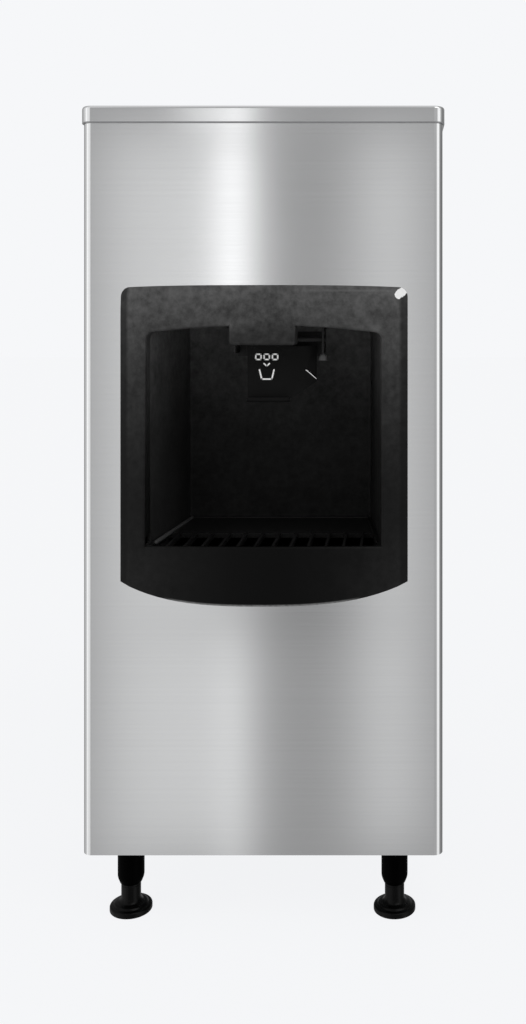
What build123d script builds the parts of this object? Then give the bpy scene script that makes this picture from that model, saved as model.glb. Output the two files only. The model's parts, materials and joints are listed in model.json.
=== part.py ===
from build123d import *
import math
import os

os.makedirs("parts", exist_ok=True)

# A floor-standing ice dispenser for a hotel corridor: a stainless cabinet on four legs, with a
# black moulded alcove in its front. Ice lies in an insulated hopper under a lift-off cap. A paddle
# wheel lifts it to a chute, whose gate opens when the lever in the alcove is pushed. Meltwater
# leaves through the grille, the basin and one drain outlet in the back.
# Millimetres. +Z is up, the front faces -Y, and the origin is on the floor under the middle.

# Driving dimensions: the cabinet
cabinet_width = 560.0
cabinet_depth = 700.0
hopper_height = 315.0  # from the alcove's ceiling to the underside of the cap's skirt
leg_height = 112.0
cap_height = 25.0
cap_overhang = 3.0
corner_radius = 14.0
steel = 1.2
frame_sheet = 2.0
gasket_height = 4.0
running_gap = 0.3
screw_gap = 0.1
overrun = 5.0

# Driving dimensions: the alcove, measured from the underside of the cabinet
bezel_margin = 60.0
bezel_reach = 70.0  # the furthest that the bezel stands out, low in the middle
bezel_top_reach = 46.0
bezel_side_reach = 24.0
bezel_skin = 4.0
bezel_corner = 14.0
bezel_low_corner = 8.0
bezel_edge_round = 7.0
bezel_brow = 60.0
bezel_top_arch = 5.0
bezel_apron = 57.0
bezel_bottom_sag = 26.0
alcove_x = 5.0  # the alcove, the spout and the lever stand this far to the right of the middle
bezel_stile = 41.0
alcove_depth = 222.0
alcove_draft = 20.0  # the liner's side walls lean in by this much towards the back
alcove_lip_height = 487.0
alcove_lip_rise = 5.0
alcove_eave_drop = 13.0
alcove_eave_arch = 12.0
alcove_ceiling_height = 823.0
alcove_corner = 8.0
tab_width = 100.0
tab_drop = 31.0
liner_wall = 3.0
liner_flange = 9.0
window_gap = 1.5

# Driving dimensions: the hopper and its drive
hopper_wall = 3.0
hopper_space = 44.0  # between the panels and the hopper's upper walls
insulation = 25.0
build_gap = 2.0
drive_room = 187.0  # between the trough's rear wall and the cabinet's back
wheel_radius = 140.0
wheel_gap = 6.0
wheel_axis_drop = 5.0  # below the alcove's ceiling
throat_rise = 110.0  # from the wheel's axis to where the hopper starts to widen
funnel_rise = 90.0
front_throat_rise = 165.0
front_funnel_rise = 90.0
shaft_radius = 10.0
shaft_gap = 0.05

# Driving dimensions: the chute and its gate
chute_width = 90.0
chute_wall = 2.5
outlet_rise = 72.0
outlet_height = 52.0
spout_front = 30.0
spout_rear = 35.0
spout_shoulder_rise = 43.0
spout_mouth_drop = 29.0
spout_knee_drop = 10.0
spout_nose_rise = 44.0
spout_brow_setback = 18.0
throat_length = 40.0
roof_length = 66.0

# Driving dimensions: the lever and its bracket
lever_setback = 46.0
lever_pivot_drop = 23.0
cheek_sheet = 3.0
cheek_left_x = -52.0
cheek_right_x = 85.0
cheek_front = 12.0
cheek_flange = 24.0
web_setback = 38.0
bracket_screw_radius = 2.4

# Driving dimensions: the drain
drain_reach = 25.0
drain_outlet_height = 88.0
drain_outer_radius = 16.0
drain_bore_radius = 11.0
drain_socket_radius = 13.4
drain_socket_depth = 22.0
hose_outer_radius = 12.0
hose_bore_radius = 9.0

# Planes and levels that everything is placed by
total_depth = bezel_reach + cabinet_depth + drain_reach
front_y = bezel_reach - total_depth / 2
rear_y = front_y + cabinet_depth
middle_y = (front_y + rear_y) / 2
base_z = leg_height
body_height = alcove_ceiling_height + hopper_height
cap_z = base_z + body_height
top_z = cap_z + cap_height
cap_under_z = top_z - steel
frame_top_z = cap_under_z - gasket_height
panel_top_z = frame_top_z - frame_sheet
half_width = cabinet_width / 2
bezel_width = cabinet_width - 2 * bezel_margin
alcove_width = bezel_width - 2 * bezel_stile
lip_z = base_z + alcove_lip_height
ceiling_z = base_z + alcove_ceiling_height
eave_z = ceiling_z - alcove_eave_drop
bezel_top_z = ceiling_z + bezel_brow
bezel_side_z = lip_z - bezel_apron
bezel_bottom_z = bezel_side_z - bezel_bottom_sag
tab_z = ceiling_z - tab_drop
alcove_half = alcove_width / 2
bezel_half = bezel_width / 2
alcove_back_y = front_y + alcove_depth
wheel_z = ceiling_z - wheel_axis_drop
trough_radius = wheel_radius + wheel_gap
trough_front_y = alcove_back_y + liner_wall + build_gap + insulation + hopper_wall
trough_rear_y = rear_y - drive_room
bulkhead_y = trough_rear_y + hopper_wall + insulation


def write(piece, name, across=0.0):
    """Labels a finished piece, moves it across the cabinet and writes its STEP file."""
    placed = piece.part.moved(Location((across, 0, 0)))
    placed.label = name
    export_step(placed, f"parts/{name}.step")


def cabinet_plan(inset, rear_gap=0.0):
    """The cabinet's plan, drawn in by inset, with rounded front corners."""
    with BuildSketch() as plan:
        with Locations((0, middle_y - rear_gap / 2)):
            Rectangle(cabinet_width - 2 * inset, cabinet_depth - 2 * inset - rear_gap)
        fillet(plan.vertices().group_by(Axis.Y)[0], radius=max(corner_radius - inset, frame_sheet))
    return plan.sketch_local


def plan_ring(level, outer_inset, inner_inset, height, rear_gap=0.0):
    """An upright band that follows the cabinet's plan."""
    with BuildPart() as band:
        with BuildSketch(Plane.XY.offset(level)):
            add(cabinet_plan(outer_inset, rear_gap))
            add(cabinet_plan(inner_inset, rear_gap), mode=Mode.SUBTRACT)
        extrude(amount=height)
    return band.part



# Where the chute runs, in side view
outlet_z = wheel_z + outlet_rise
throat_bottom_z = outlet_z - chute_wall
throat_top_z = outlet_z + outlet_height + chute_wall
throat_y = trough_front_y - throat_length
roof_y = trough_front_y - roof_length
spout_rear_y = front_y + spout_rear
spout_front_y = front_y - spout_front
spout_brow_y = spout_front_y + spout_brow_setback
spout_knee_z = ceiling_z - spout_knee_drop
spout_mouth_z = ceiling_z - spout_mouth_drop
spout_shoulder_z = ceiling_z + spout_shoulder_rise
chute_half = chute_width / 2
chute_slope = (throat_bottom_z - spout_knee_z) / (throat_y - spout_rear_y)
roof_slope = (throat_top_z - spout_shoulder_z) / (roof_y - spout_brow_y)
notch_top_z = spout_shoulder_z + (front_y + steel - spout_brow_y) * roof_slope + window_gap
ceiling_slot_y = spout_rear_y + (ceiling_z + liner_wall - spout_knee_z) / chute_slope + window_gap

# Where the lever's bracket hangs, from the alcove's own middle plane
lever_pivot_y = front_y + lever_setback
lever_pivot_z = ceiling_z - lever_pivot_drop
cheek_back_y = lever_pivot_y + web_setback + cheek_sheet
bracket_length = cheek_front + web_setback + cheek_sheet
bracket_screw_places = [
    (edge_x + side * cheek_flange / 2, cheek_back_y - share * bracket_length)
    for edge_x, side in ((cheek_left_x, -1), (cheek_right_x, 1))
    for share in (1 / 4, 3 / 4)
]

# The cabinet's shell

front_return = 32.0
rear_flange = 20.0

window_half = alcove_half + liner_wall + window_gap
basin_depth = 37.0
basin_wall = 3.0
basin_floor_z = lip_z - basin_depth
window_bottom_z = basin_floor_z - window_gap
window_top_z = ceiling_z + liner_wall + window_gap
bezel_screw_radius = 2.0
bezel_boss_radius = 6.0
bezel_boss_x = (alcove_half + liner_wall + liner_flange + bezel_half - bezel_skin) / 2
bezel_boss_rise = 30.0
bezel_boss_places = [
    (side * bezel_boss_x, level)
    for side in (-1, 1)
    for level in (lip_z + bezel_boss_rise, eave_z - bezel_boss_rise)
]

with BuildPart() as front_panel:
    add(plan_ring(base_z, 0, steel, panel_top_z - base_z))
    with BuildSketch(Plane.XY.offset(base_z)):
        with Locations((0, front_y + front_return / 2)):
            Rectangle(cabinet_width, front_return)
    extrude(amount=panel_top_z - base_z, mode=Mode.INTERSECT)
    with BuildSketch(Plane.XZ.offset(-front_y)):
        with Locations((alcove_x, (window_bottom_z + window_top_z) / 2)):
            Rectangle(2 * window_half, window_top_z - window_bottom_z)
        with Locations((alcove_x, (ceiling_z + notch_top_z) / 2)):
            Rectangle(chute_width + 2 * window_gap, notch_top_z - ceiling_z)
        with Locations((alcove_x, 0)):
            with Locations(bezel_boss_places):
                Circle(bezel_screw_radius + screw_gap)
    extrude(amount=overrun, both=True, mode=Mode.SUBTRACT)
write(front_panel, "front_panel")

# Places on the back, which the side panels and the posts share

access_margin = 90.0
access_width = cabinet_width - 2 * access_margin
access_height = 330.0
access_rise = 150.0
cover_margin = 16.0
cover_screw_radius = 2.4
rear_screw_inset = 10.0
access_z = base_z + access_rise + access_height / 2
cover_width = access_width + 2 * cover_margin
cover_height = access_height + 2 * cover_margin
drain_z = base_z + drain_outlet_height
gland_radius = 9.0
gland_x = half_width / 2
cover_screw_places = [
    (across * (cover_width - cover_margin) / 2, access_z + up * (cover_height - cover_margin) / 2)
    for across in (-1, 1)
    for up in (-1, 1)
]
rear_screw_places = [
    (across * (half_width - rear_screw_inset), base_z + share * body_height)
    for across in (-1, 1)
    for share in (1 / 40, 1 / 2, 39 / 40)
]
rear_screw_length = 9.0

side_panel_length = rear_y - steel - (front_y + front_return)
for side, side_name in ((-1, "left"), (1, "right")):
    with BuildPart() as side_panel:
        with BuildSketch(Plane.XY.offset(base_z)):
            with Locations((side * (half_width - steel / 2), rear_y - steel - side_panel_length / 2)):
                Rectangle(steel, side_panel_length)
            with Locations((side * (half_width - rear_flange / 2), rear_y - steel - steel / 2)):
                Rectangle(rear_flange, steel)
        extrude(amount=panel_top_z - base_z)
        with BuildSketch(Plane.XZ.offset(-rear_y)):
            with Locations(rear_screw_places):
                Circle(cover_screw_radius + screw_gap)
        extrude(amount=rear_screw_length, mode=Mode.SUBTRACT)
    write(side_panel, f"{side_name}_side_panel")

# The back, with its louvred service cover

with BuildPart() as rear_panel:
    with BuildSketch(Plane.XZ.offset(-rear_y)):
        with Locations((0, (base_z + panel_top_z) / 2)):
            Rectangle(cabinet_width, panel_top_z - base_z)
        with Locations((0, access_z)):
            Rectangle(access_width, access_height, mode=Mode.SUBTRACT)
        with Locations((0, drain_z)):
            Circle(drain_outer_radius, mode=Mode.SUBTRACT)
        with Locations((gland_x, drain_z)):
            Circle(gland_radius, mode=Mode.SUBTRACT)
        with Locations(cover_screw_places + rear_screw_places):
            Circle(cover_screw_radius + screw_gap, mode=Mode.SUBTRACT)
    extrude(amount=steel)
write(rear_panel, "rear_panel")

louvre_count = 7
louvre_radius = 8.0
louvre_pitch = 40.0
louvre_margin = 60.0
louvre_length = access_width / 2 - louvre_margin
louvre_places = [
    (across * access_width / 4, access_z + (row - (louvre_count - 1) / 2) * louvre_pitch)
    for across in (-1, 1)
    for row in range(louvre_count)
]


def louvre_hood(inset):
    """One pressed hood: half of a round-backed blister, open underneath."""
    with BuildPart() as hood:
        with BuildSketch(Plane.YZ.offset(-louvre_length / 2 + inset)):
            Circle(louvre_radius - inset)
            with Locations((0, -louvre_radius)):
                Rectangle(2 * louvre_radius, 2 * louvre_radius, mode=Mode.SUBTRACT)
            with Locations((-louvre_radius, 0)):
                Rectangle(2 * louvre_radius, 2 * louvre_radius, mode=Mode.SUBTRACT)
        extrude(amount=louvre_length - 2 * inset)
    return hood.part


with BuildPart() as service_cover:
    with BuildSketch(Plane.XZ.offset(-rear_y - steel)):
        with Locations((0, access_z)):
            RectangleRounded(cover_width, cover_height, corner_radius)
        with Locations(cover_screw_places):
            Circle(cover_screw_radius + screw_gap, mode=Mode.SUBTRACT)
    extrude(amount=steel)
    outer_hood = louvre_hood(0)
    inner_hood = louvre_hood(steel)
    for x, z in louvre_places:
        add(Pos(x, rear_y + steel, z) * outer_hood)
    for x, z in louvre_places:
        add(Pos(x, rear_y, z - steel) * inner_hood, mode=Mode.SUBTRACT)
write(service_cover, "service_cover")

screw_head_radius = 4.5
screw_head_height = 2.6


def hex_screw(radius, head_radius, head_height, length):
    """A hexagon-head screw along +Z: its shank below the origin, its head above."""
    with BuildPart() as screw:
        Cylinder(radius, length, align=(Align.CENTER, Align.CENTER, Align.MAX))
        with BuildSketch():
            RegularPolygon(head_radius, 6)
        extrude(amount=head_height)
    return screw.part


with BuildPart() as rear_screws:
    rear_screw = hex_screw(cover_screw_radius, screw_head_radius, screw_head_height, rear_screw_length)
    for x, z in cover_screw_places:
        add(Plane(origin=(x, rear_y + steel, z), z_dir=(0, 1, 0)).location * rear_screw)
    for x, z in rear_screw_places:
        add(Plane(origin=(x, rear_y, z), z_dir=(0, 1, 0)).location * rear_screw)
write(rear_screws, "rear_screws")

gland_flange_radius = 14.0
gland_flange = 4.0
gland_bore_radius = 5.0
with BuildPart() as cord_gland:
    with BuildSketch(Plane.XZ.offset(-rear_y)):
        with Locations((gland_x, drain_z)):
            Circle(gland_radius)
    extrude(amount=3 * steel)
    with BuildSketch(Plane.XZ.offset(-rear_y)):
        with Locations((gland_x, drain_z)):
            Circle(gland_flange_radius)
    extrude(amount=-gland_flange)
    with BuildSketch(Plane.XZ.offset(-rear_y - gland_flange)):
        with Locations((gland_x, drain_z)):
            Circle(gland_bore_radius)
    extrude(amount=2 * (gland_flange + steel), mode=Mode.SUBTRACT)
write(cord_gland, "cord_gland")

# The frame inside: base pan, corner posts, bulkhead and the ring under the cap

pan_flange = 25.0
post_leg = 26.0
leg_inset = 55.0
leg_side_inset = 69.0
leg_x = half_width - leg_side_inset
leg_offset = 6.0
leg_stud_radius = 6.0
leg_places = [
    (across * leg_x - leg_offset, y)
    for across in (-1, 1)
    for y in (front_y + leg_inset, rear_y - leg_inset)
]

with BuildPart() as base_pan:
    with BuildSketch(Plane.XY.offset(base_z)):
        add(cabinet_plan(steel, steel))
    extrude(amount=frame_sheet)
    add(plan_ring(base_z, steel, steel + frame_sheet, pan_flange, steel))
    with BuildSketch(Plane.XY.offset(base_z)):
        with Locations(leg_places):
            Circle(leg_stud_radius + screw_gap)
    extrude(amount=frame_sheet, mode=Mode.SUBTRACT)
write(base_pan, "base_pan")

pan_top_z = base_z + frame_sheet
post_x = half_width - steel - frame_sheet
with BuildPart() as corner_posts:
    post_height = panel_top_z - pan_top_z
    add(plan_ring(pan_top_z, steel + frame_sheet, steel + 2 * frame_sheet, post_height, steel))
    with BuildSketch(Plane.XY.offset(pan_top_z)):
        for x in (-post_x, post_x):
            for y in (front_y + steel + frame_sheet, rear_y - steel - frame_sheet):
                with Locations((x, y)):
                    Rectangle(2 * post_leg, 2 * post_leg)
    extrude(amount=panel_top_z - pan_top_z, mode=Mode.INTERSECT)
    with BuildSketch(Plane.XZ.offset(-rear_y)):
        with Locations(rear_screw_places):
            Circle(cover_screw_radius + screw_gap)
    extrude(amount=rear_screw_length, mode=Mode.SUBTRACT)
write(corner_posts, "corner_posts")

rim_flange = 14.0
mouth_half = half_width - steel - hopper_space
mouth_front_y = front_y + steel + hopper_space
mouth_rear_y = rear_y - steel - hopper_space
ring_gap = hopper_wall + build_gap
with BuildPart() as top_frame:
    with BuildSketch(Plane.XY.offset(panel_top_z)):
        add(cabinet_plan(0))
        with Locations((0, (mouth_front_y + mouth_rear_y) / 2)):
            Rectangle(
                2 * (mouth_half + ring_gap), mouth_rear_y - mouth_front_y + 2 * ring_gap, mode=Mode.SUBTRACT
            )
    extrude(amount=frame_sheet)
write(top_frame, "top_frame")

bulkhead_fold = 16.0
bulkhead_rise = 92.0
bulkhead_drop = 128.0
bulkhead_hole_radius = 24.0
bulkhead_half = half_width - steel
with BuildPart() as drive_bulkhead:
    with BuildSketch(Plane.XZ.offset(-bulkhead_y - frame_sheet)):
        with Locations((0, wheel_z + (bulkhead_rise - bulkhead_drop) / 2)):
            Rectangle(2 * bulkhead_half, bulkhead_rise + bulkhead_drop)
        with Locations((0, wheel_z)):
            Circle(bulkhead_hole_radius, mode=Mode.SUBTRACT)
    extrude(amount=frame_sheet)
    with BuildSketch(Plane.XY.offset(wheel_z - bulkhead_drop)):
        for side in (-1, 1):
            with Locations((side * (bulkhead_half - frame_sheet / 2), bulkhead_y + bulkhead_fold / 2)):
                Rectangle(frame_sheet, bulkhead_fold)
    extrude(amount=bulkhead_rise + bulkhead_drop)
    for level in (wheel_z - bulkhead_drop, wheel_z + bulkhead_rise - frame_sheet):
        with BuildSketch(Plane.XY.offset(level)):
            with Locations((0, bulkhead_y + bulkhead_fold / 2)):
                Rectangle(2 * bulkhead_half, bulkhead_fold)
        extrude(amount=frame_sheet)
write(drive_bulkhead, "drive_bulkhead")

# The cap, which lifts off for loading ice

cap_round = 5.0
gasket_inset = 6.0
gasket_width = 12.0
edge_seal_height = 1.8
with BuildPart() as top_cap:
    with BuildSketch(Plane.XY.offset(cap_z)):
        add(cabinet_plan(-cap_overhang))
    extrude(amount=cap_height)
    fillet(top_cap.faces().sort_by(Axis.Z)[-1].edges(), radius=cap_round)
    with BuildPart(mode=Mode.PRIVATE) as cap_hollow:
        with BuildSketch(Plane.XY.offset(cap_z)):
            add(cabinet_plan(steel - cap_overhang))
        extrude(amount=cap_height - steel)
        fillet(cap_hollow.faces().sort_by(Axis.Z)[-1].edges(), radius=cap_round - steel)
    add(cap_hollow.part, mode=Mode.SUBTRACT)
write(top_cap, "top_cap")

with BuildPart() as cap_edge_seal:
    add(plan_ring(cap_z - edge_seal_height, -cap_overhang, -running_gap, edge_seal_height))
write(cap_edge_seal, "cap_edge_seal")

with BuildPart() as cap_gasket:
    add(plan_ring(frame_top_z, gasket_inset, gasket_inset + gasket_width, gasket_height))
write(cap_gasket, "cap_gasket")

# The legs: a fixed socket with a stud through the pan, and a foot that screws in and out

socket_radius = 21.0
socket_neck_radius = 17.0
socket_length = 59.0
socket_taper = 9.0
foot_stem_radius = 15.5
foot_flange_radius = 33.5
foot_rim_height = 9.0
foot_rim_round = 2.0
foot_step_radius = 26.0
foot_step_height = 12.0
foot_cone_height = 17.0
thread_radius = 8.0
thread_length = 42.0
leg_plate_size = 70.0
leg_plate_sheet = 4.0
leg_nut_flats = 19.0
leg_nut_height = 10.0
socket_bottom_z = base_z - socket_length - socket_taper
foot_stem_top_z = socket_bottom_z - running_gap

with BuildPart() as leg_sockets:
    for x, y in leg_places:
        with BuildSketch(Plane(origin=(x, y, 0), x_dir=(1, 0, 0), z_dir=(0, -1, 0))):
            with BuildLine():
                Polyline(
                    (thread_radius + screw_gap, socket_bottom_z),
                    (socket_neck_radius, socket_bottom_z),
                    (socket_radius, socket_bottom_z + socket_taper),
                    (socket_radius, base_z),
                    (leg_stud_radius, base_z),
                    (leg_stud_radius, pan_top_z + leg_plate_sheet + leg_nut_height + overrun),
                    (0, pan_top_z + leg_plate_sheet + leg_nut_height + overrun),
                    (0, socket_bottom_z + thread_length + overrun),
                    (thread_radius + screw_gap, socket_bottom_z + thread_length + overrun),
                    close=True,
                )
            make_face()
        revolve(axis=Axis((x, y, 0), (0, 0, 1)))
write(leg_sockets, "leg_sockets")

with BuildPart() as leg_plates:
    with BuildSketch(Plane.XY.offset(pan_top_z)):
        with Locations(leg_places):
            Rectangle(leg_plate_size, leg_plate_size)
            Circle(leg_stud_radius + screw_gap, mode=Mode.SUBTRACT)
    extrude(amount=leg_plate_sheet)
write(leg_plates, "leg_plates")

with BuildPart() as leg_nuts:
    with BuildSketch(Plane.XY.offset(pan_top_z + leg_plate_sheet)):
        with Locations(leg_places):
            RegularPolygon(leg_nut_flats / 2, 6, major_radius=False)
            Circle(leg_stud_radius + screw_gap, mode=Mode.SUBTRACT)
    extrude(amount=leg_nut_height)
write(leg_nuts, "leg_nuts")

foot_names = ["foot_front_left", "foot_rear_left", "foot_front_right", "foot_rear_right"]
for foot_name, (x, y) in zip(foot_names, leg_places):
    with BuildPart() as foot:
        with BuildSketch(Plane(origin=(x, y, 0), x_dir=(1, 0, 0), z_dir=(0, -1, 0))):
            with BuildLine():
                Polyline(
                    (0, 0),
                    (foot_flange_radius, 0),
                    (foot_flange_radius, foot_rim_height - foot_rim_round),
                    (foot_flange_radius - foot_rim_round, foot_rim_height),
                    (foot_step_radius, foot_rim_height),
                    (foot_step_radius - foot_rim_round, foot_step_height),
                    (foot_stem_radius + foot_rim_round, foot_step_height),
                    (foot_stem_radius, foot_cone_height),
                    (foot_stem_radius, foot_stem_top_z),
                    (thread_radius, foot_stem_top_z),
                    (thread_radius, foot_stem_top_z + thread_length),
                    (0, foot_stem_top_z + thread_length),
                    close=True,
                )
            make_face()
        revolve(axis=Axis((x, y, 0), (0, 0, 1)))
    write(foot, foot_name)

# The bezel: a bowed moulding round the alcove, with a deep apron below and a tab over the spout

bow_margin = 20.0
bow_height = bezel_top_z - bezel_bottom_z - bezel_edge_round
bow_slope = (bezel_reach - bezel_top_reach) / bow_height


def bow_plan(level, inset):
    """The bezel's plan at one level: flat on the panel, bowed in front, and deeper lower down."""
    half = bezel_half - inset
    side_y = front_y - bezel_side_reach + inset
    middle_y = front_y - bezel_top_reach - bow_slope * (bezel_top_z - level) + inset
    with BuildSketch(Plane.XY.offset(level)) as plan:
        with BuildLine():
            Polyline((-half, side_y), (-half, front_y), (half, front_y), (half, side_y))
            ThreePointArc((half, side_y), (0, middle_y), (-half, side_y))
        make_face()
    return plan.sketch


def bow_block(inset):
    """The bow as a tall block, drawn in by inset in front and at both sides."""
    with BuildPart() as block:
        levels = (bezel_bottom_z - bow_margin, bezel_top_z + bow_margin)
        loft([bow_plan(level, inset) for level in levels], ruled=True)
    return block.part


def bezel_outline(inset):
    """The bezel in front view: a shallow arch above and a sagging apron below."""
    half = bezel_half - inset
    bottom_side_z = bezel_side_z + inset
    top_side_z = bezel_top_z - bezel_top_arch - inset
    with BuildSketch() as outline:
        with BuildLine():
            ThreePointArc((-half, bottom_side_z), (0, bezel_bottom_z + inset), (half, bottom_side_z))
            Line((half, bottom_side_z), (half, top_side_z))
            ThreePointArc((half, top_side_z), (0, bezel_top_z - inset), (-half, top_side_z))
            Line((-half, top_side_z), (-half, bottom_side_z))
        make_face()
        fillet(outline.vertices().group_by(Axis.Y)[-1], radius=bezel_corner - inset)
        fillet(outline.vertices().group_by(Axis.Y)[0], radius=bezel_low_corner - inset)
    return outline.sketch_local


def alcove_outline(grow):
    """The alcove's mouth in front view: an arched eave above, a slightly raised lip below."""
    half = alcove_half + grow
    low = lip_z - grow
    high = eave_z + grow
    with BuildSketch() as outline:
        with BuildLine():
            ThreePointArc((-half, low), (0, low + alcove_lip_rise), (half, low))
            Line((half, low), (half, high))
            ThreePointArc((half, high), (0, high + alcove_eave_arch), (-half, high))
            Line((-half, high), (-half, low))
        make_face()
        fillet(outline.vertices().group_by(Axis.Y)[-1], radius=alcove_corner + grow)
    return outline.sketch_local


def bezel_form(inset):
    """The bezel as a solid block, drawn in by inset on every side but the back."""
    with BuildPart() as form:
        add(bow_block(inset))
        with BuildSketch(Plane.XZ.offset(-front_y)):
            add(bezel_outline(inset))
        extrude(amount=bezel_reach + overrun, mode=Mode.INTERSECT)
    return form.part


with BuildPart() as bezel:
    add(bezel_form(0))
    fillet(bezel.faces().sort_by(Axis.Y)[0].edges(), radius=bezel_edge_round)
    add(bezel_form(bezel_skin), mode=Mode.SUBTRACT)
    # walls round the mouth run back to the panel, and are left out at the spout and the basin
    with BuildPart(mode=Mode.PRIVATE) as inner_walls:
        with BuildSketch(Plane.XZ.offset(-front_y)):
            add(alcove_outline(liner_wall))
            with Locations((0, ceiling_z)):
                Rectangle(chute_width + 2 * window_gap, 2 * (ceiling_z - tab_z), mode=Mode.SUBTRACT)
            with Locations((0, lip_z - bezel_reach)):
                Rectangle(bezel_width, 2 * bezel_reach, mode=Mode.SUBTRACT)
            with Locations((0, lip_z)):
                Rectangle(alcove_width, 2 * bezel_reach, mode=Mode.SUBTRACT)
            with Locations(bezel_boss_places):
                Circle(bezel_boss_radius)
        extrude(amount=bezel_reach)
        add(bezel_form(bezel_skin / 2), mode=Mode.INTERSECT)
    add(inner_walls.part)
    with BuildSketch(Plane.XZ.offset(-front_y)):
        add(alcove_outline(0))
        with Locations((0, tab_z + bezel_reach / 2)):
            Rectangle(tab_width, bezel_reach, mode=Mode.SUBTRACT)
    extrude(amount=bezel_reach + overrun, mode=Mode.SUBTRACT)
    with BuildSketch(Plane.XZ.offset(-front_y)):
        with Locations((0, (ceiling_z + tab_z) / 2)):
            Rectangle(tab_width, ceiling_z - tab_z + 2 * window_gap)
    extrude(amount=bezel_top_reach - bezel_skin, mode=Mode.SUBTRACT)
    with BuildSketch(Plane.XZ.offset(-front_y)):
        with Locations(bezel_boss_places):
            Circle(bezel_screw_radius + screw_gap)
    extrude(amount=bezel_side_reach / 2, mode=Mode.SUBTRACT)
write(bezel, "bezel", alcove_x)

# Alcove pieces below are drawn about the alcove's own middle plane and moved across when written

bezel_screw_length = 10.0
with BuildPart() as bezel_screws:
    bezel_screw = hex_screw(bezel_screw_radius, screw_head_radius, screw_head_height, bezel_screw_length)
    for x, z in bezel_boss_places:
        add(Plane(origin=(x, front_y + steel, z), z_dir=(0, 1, 0)).location * bezel_screw)
write(bezel_screws, "bezel_screws", alcove_x)

# The alcove's liner, open in front, with a flange behind the panel and a slot above for the chute

liner_corner = 8.0


def alcove_plan(inset):
    """The liner's plan from the panel back, with side walls that lean in."""
    front_half = alcove_half + liner_wall - inset
    back_half = front_half - alcove_draft
    back_y = alcove_back_y + liner_wall - inset
    with BuildSketch() as plan:
        Polygon(
            (-front_half, front_y),
            (front_half, front_y),
            (back_half, back_y),
            (-back_half, back_y),
            align=None,
        )
        fillet(plan.vertices().group_by(Axis.Y)[-1], radius=liner_corner - min(inset, liner_wall))
    return plan.sketch_local


with BuildPart() as alcove_liner:
    with BuildSketch(Plane.XY.offset(lip_z)):
        add(alcove_plan(0))
    extrude(amount=ceiling_z + liner_wall - lip_z)
    with BuildSketch(Plane.XZ.offset(-front_y - steel)):
        with Locations((0, (lip_z + ceiling_z + liner_wall) / 2)):
            Rectangle(
                2 * (window_half + liner_flange),
                ceiling_z + liner_wall + 2 * liner_flange - lip_z,
            )
        with Locations((0, lip_z - liner_flange)):
            Rectangle(2 * (window_half + liner_flange), 2 * liner_flange, mode=Mode.SUBTRACT)
    extrude(amount=-liner_wall)
    with BuildSketch(Plane.XY.offset(lip_z)):
        add(alcove_plan(liner_wall))
    extrude(amount=ceiling_z - lip_z, mode=Mode.SUBTRACT)
    with BuildSketch(Plane.XY.offset(ceiling_z - overrun)):
        with Locations((0, front_y + (ceiling_slot_y - front_y) / 2)):
            Rectangle(chute_width + 2 * window_gap, ceiling_slot_y - front_y)
    extrude(amount=spout_shoulder_z - ceiling_z + 2 * overrun, mode=Mode.SUBTRACT)
    with BuildSketch(Plane.XY.offset(ceiling_z)):
        with Locations(bracket_screw_places):
            Circle(bracket_screw_radius + screw_gap)
    extrude(amount=liner_wall, mode=Mode.SUBTRACT)
write(alcove_liner, "alcove_liner", alcove_x)

# The drip basin, bowed in front to follow the apron, and the grille that lies in it

basin_ledge_width = 5.0
basin_ledge_drop = 10.0
basin_ledge_z = lip_z - basin_ledge_drop
spud_outer_radius = hose_bore_radius - running_gap
spud_bore_radius = 6.5
spud_length = 26.0
basin_spud_y = front_y + alcove_depth / 2


def basin_block(inset, low, high):
    """A slab with the basin's plan, drawn in by inset, between two levels."""
    with BuildPart() as block:
        add(bow_block(bezel_skin + running_gap + inset))
        with BuildSketch(Plane.XY.offset(low)):
            with Locations((0, front_y)):
                Rectangle(2 * (alcove_half + liner_wall - inset), 2 * (bezel_reach + overrun))
        extrude(amount=high - low, mode=Mode.INTERSECT)
        with BuildSketch(Plane.XY.offset(low)):
            add(alcove_plan(inset))
        extrude(amount=high - low)
    return block.part


with BuildPart() as drip_basin:
    add(basin_block(0, basin_floor_z, lip_z))
    add(basin_block(basin_wall, basin_ledge_z, lip_z), mode=Mode.SUBTRACT)
    add(
        basin_block(basin_wall + basin_ledge_width, basin_floor_z + basin_wall, basin_ledge_z),
        mode=Mode.SUBTRACT,
    )
    with BuildSketch(Plane.XY.offset(basin_floor_z)):
        with Locations((-alcove_x, basin_spud_y)):
            Circle(spud_outer_radius)
    extrude(amount=-spud_length)
    with BuildSketch(Plane.XY.offset(basin_floor_z + basin_wall)):
        with Locations((-alcove_x, basin_spud_y)):
            Circle(spud_bore_radius)
    extrude(amount=-spud_length - basin_wall, mode=Mode.SUBTRACT)
write(drip_basin, "drip_basin", alcove_x)

grille_thickness = 8.0
grille_gap = 0.5
grille_border = 6.0
grille_bar = 4.0
grille_pitch = 27.0
grille_columns = 13
grille_row_length = 111.0
grille_deck_setback = 77.0
grille_row_y = front_y + grille_deck_setback - grille_row_length / 2
with BuildPart() as grille_slots:
    add(
        basin_block(
            basin_wall + grille_gap + grille_border,
            basin_ledge_z,
            basin_ledge_z + grille_thickness,
        )
    )
    with BuildSketch(Plane.XY.offset(basin_ledge_z)):
        for row_y in (grille_row_y, grille_row_y - grille_row_length - grille_bar):
            with Locations((0, row_y)):
                with GridLocations(grille_pitch, grille_pitch, grille_columns, 1):
                    Rectangle(grille_pitch - grille_bar, grille_row_length)
    extrude(amount=grille_thickness, mode=Mode.INTERSECT)
with BuildPart() as drip_grille:
    add(basin_block(basin_wall + grille_gap, basin_ledge_z, basin_ledge_z + grille_thickness))
    add(grille_slots.part, mode=Mode.SUBTRACT)
write(drip_grille, "drip_grille", alcove_x)

# The chute: a closed duct from the wheel's outlet down to a spout behind the bezel's tab

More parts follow.
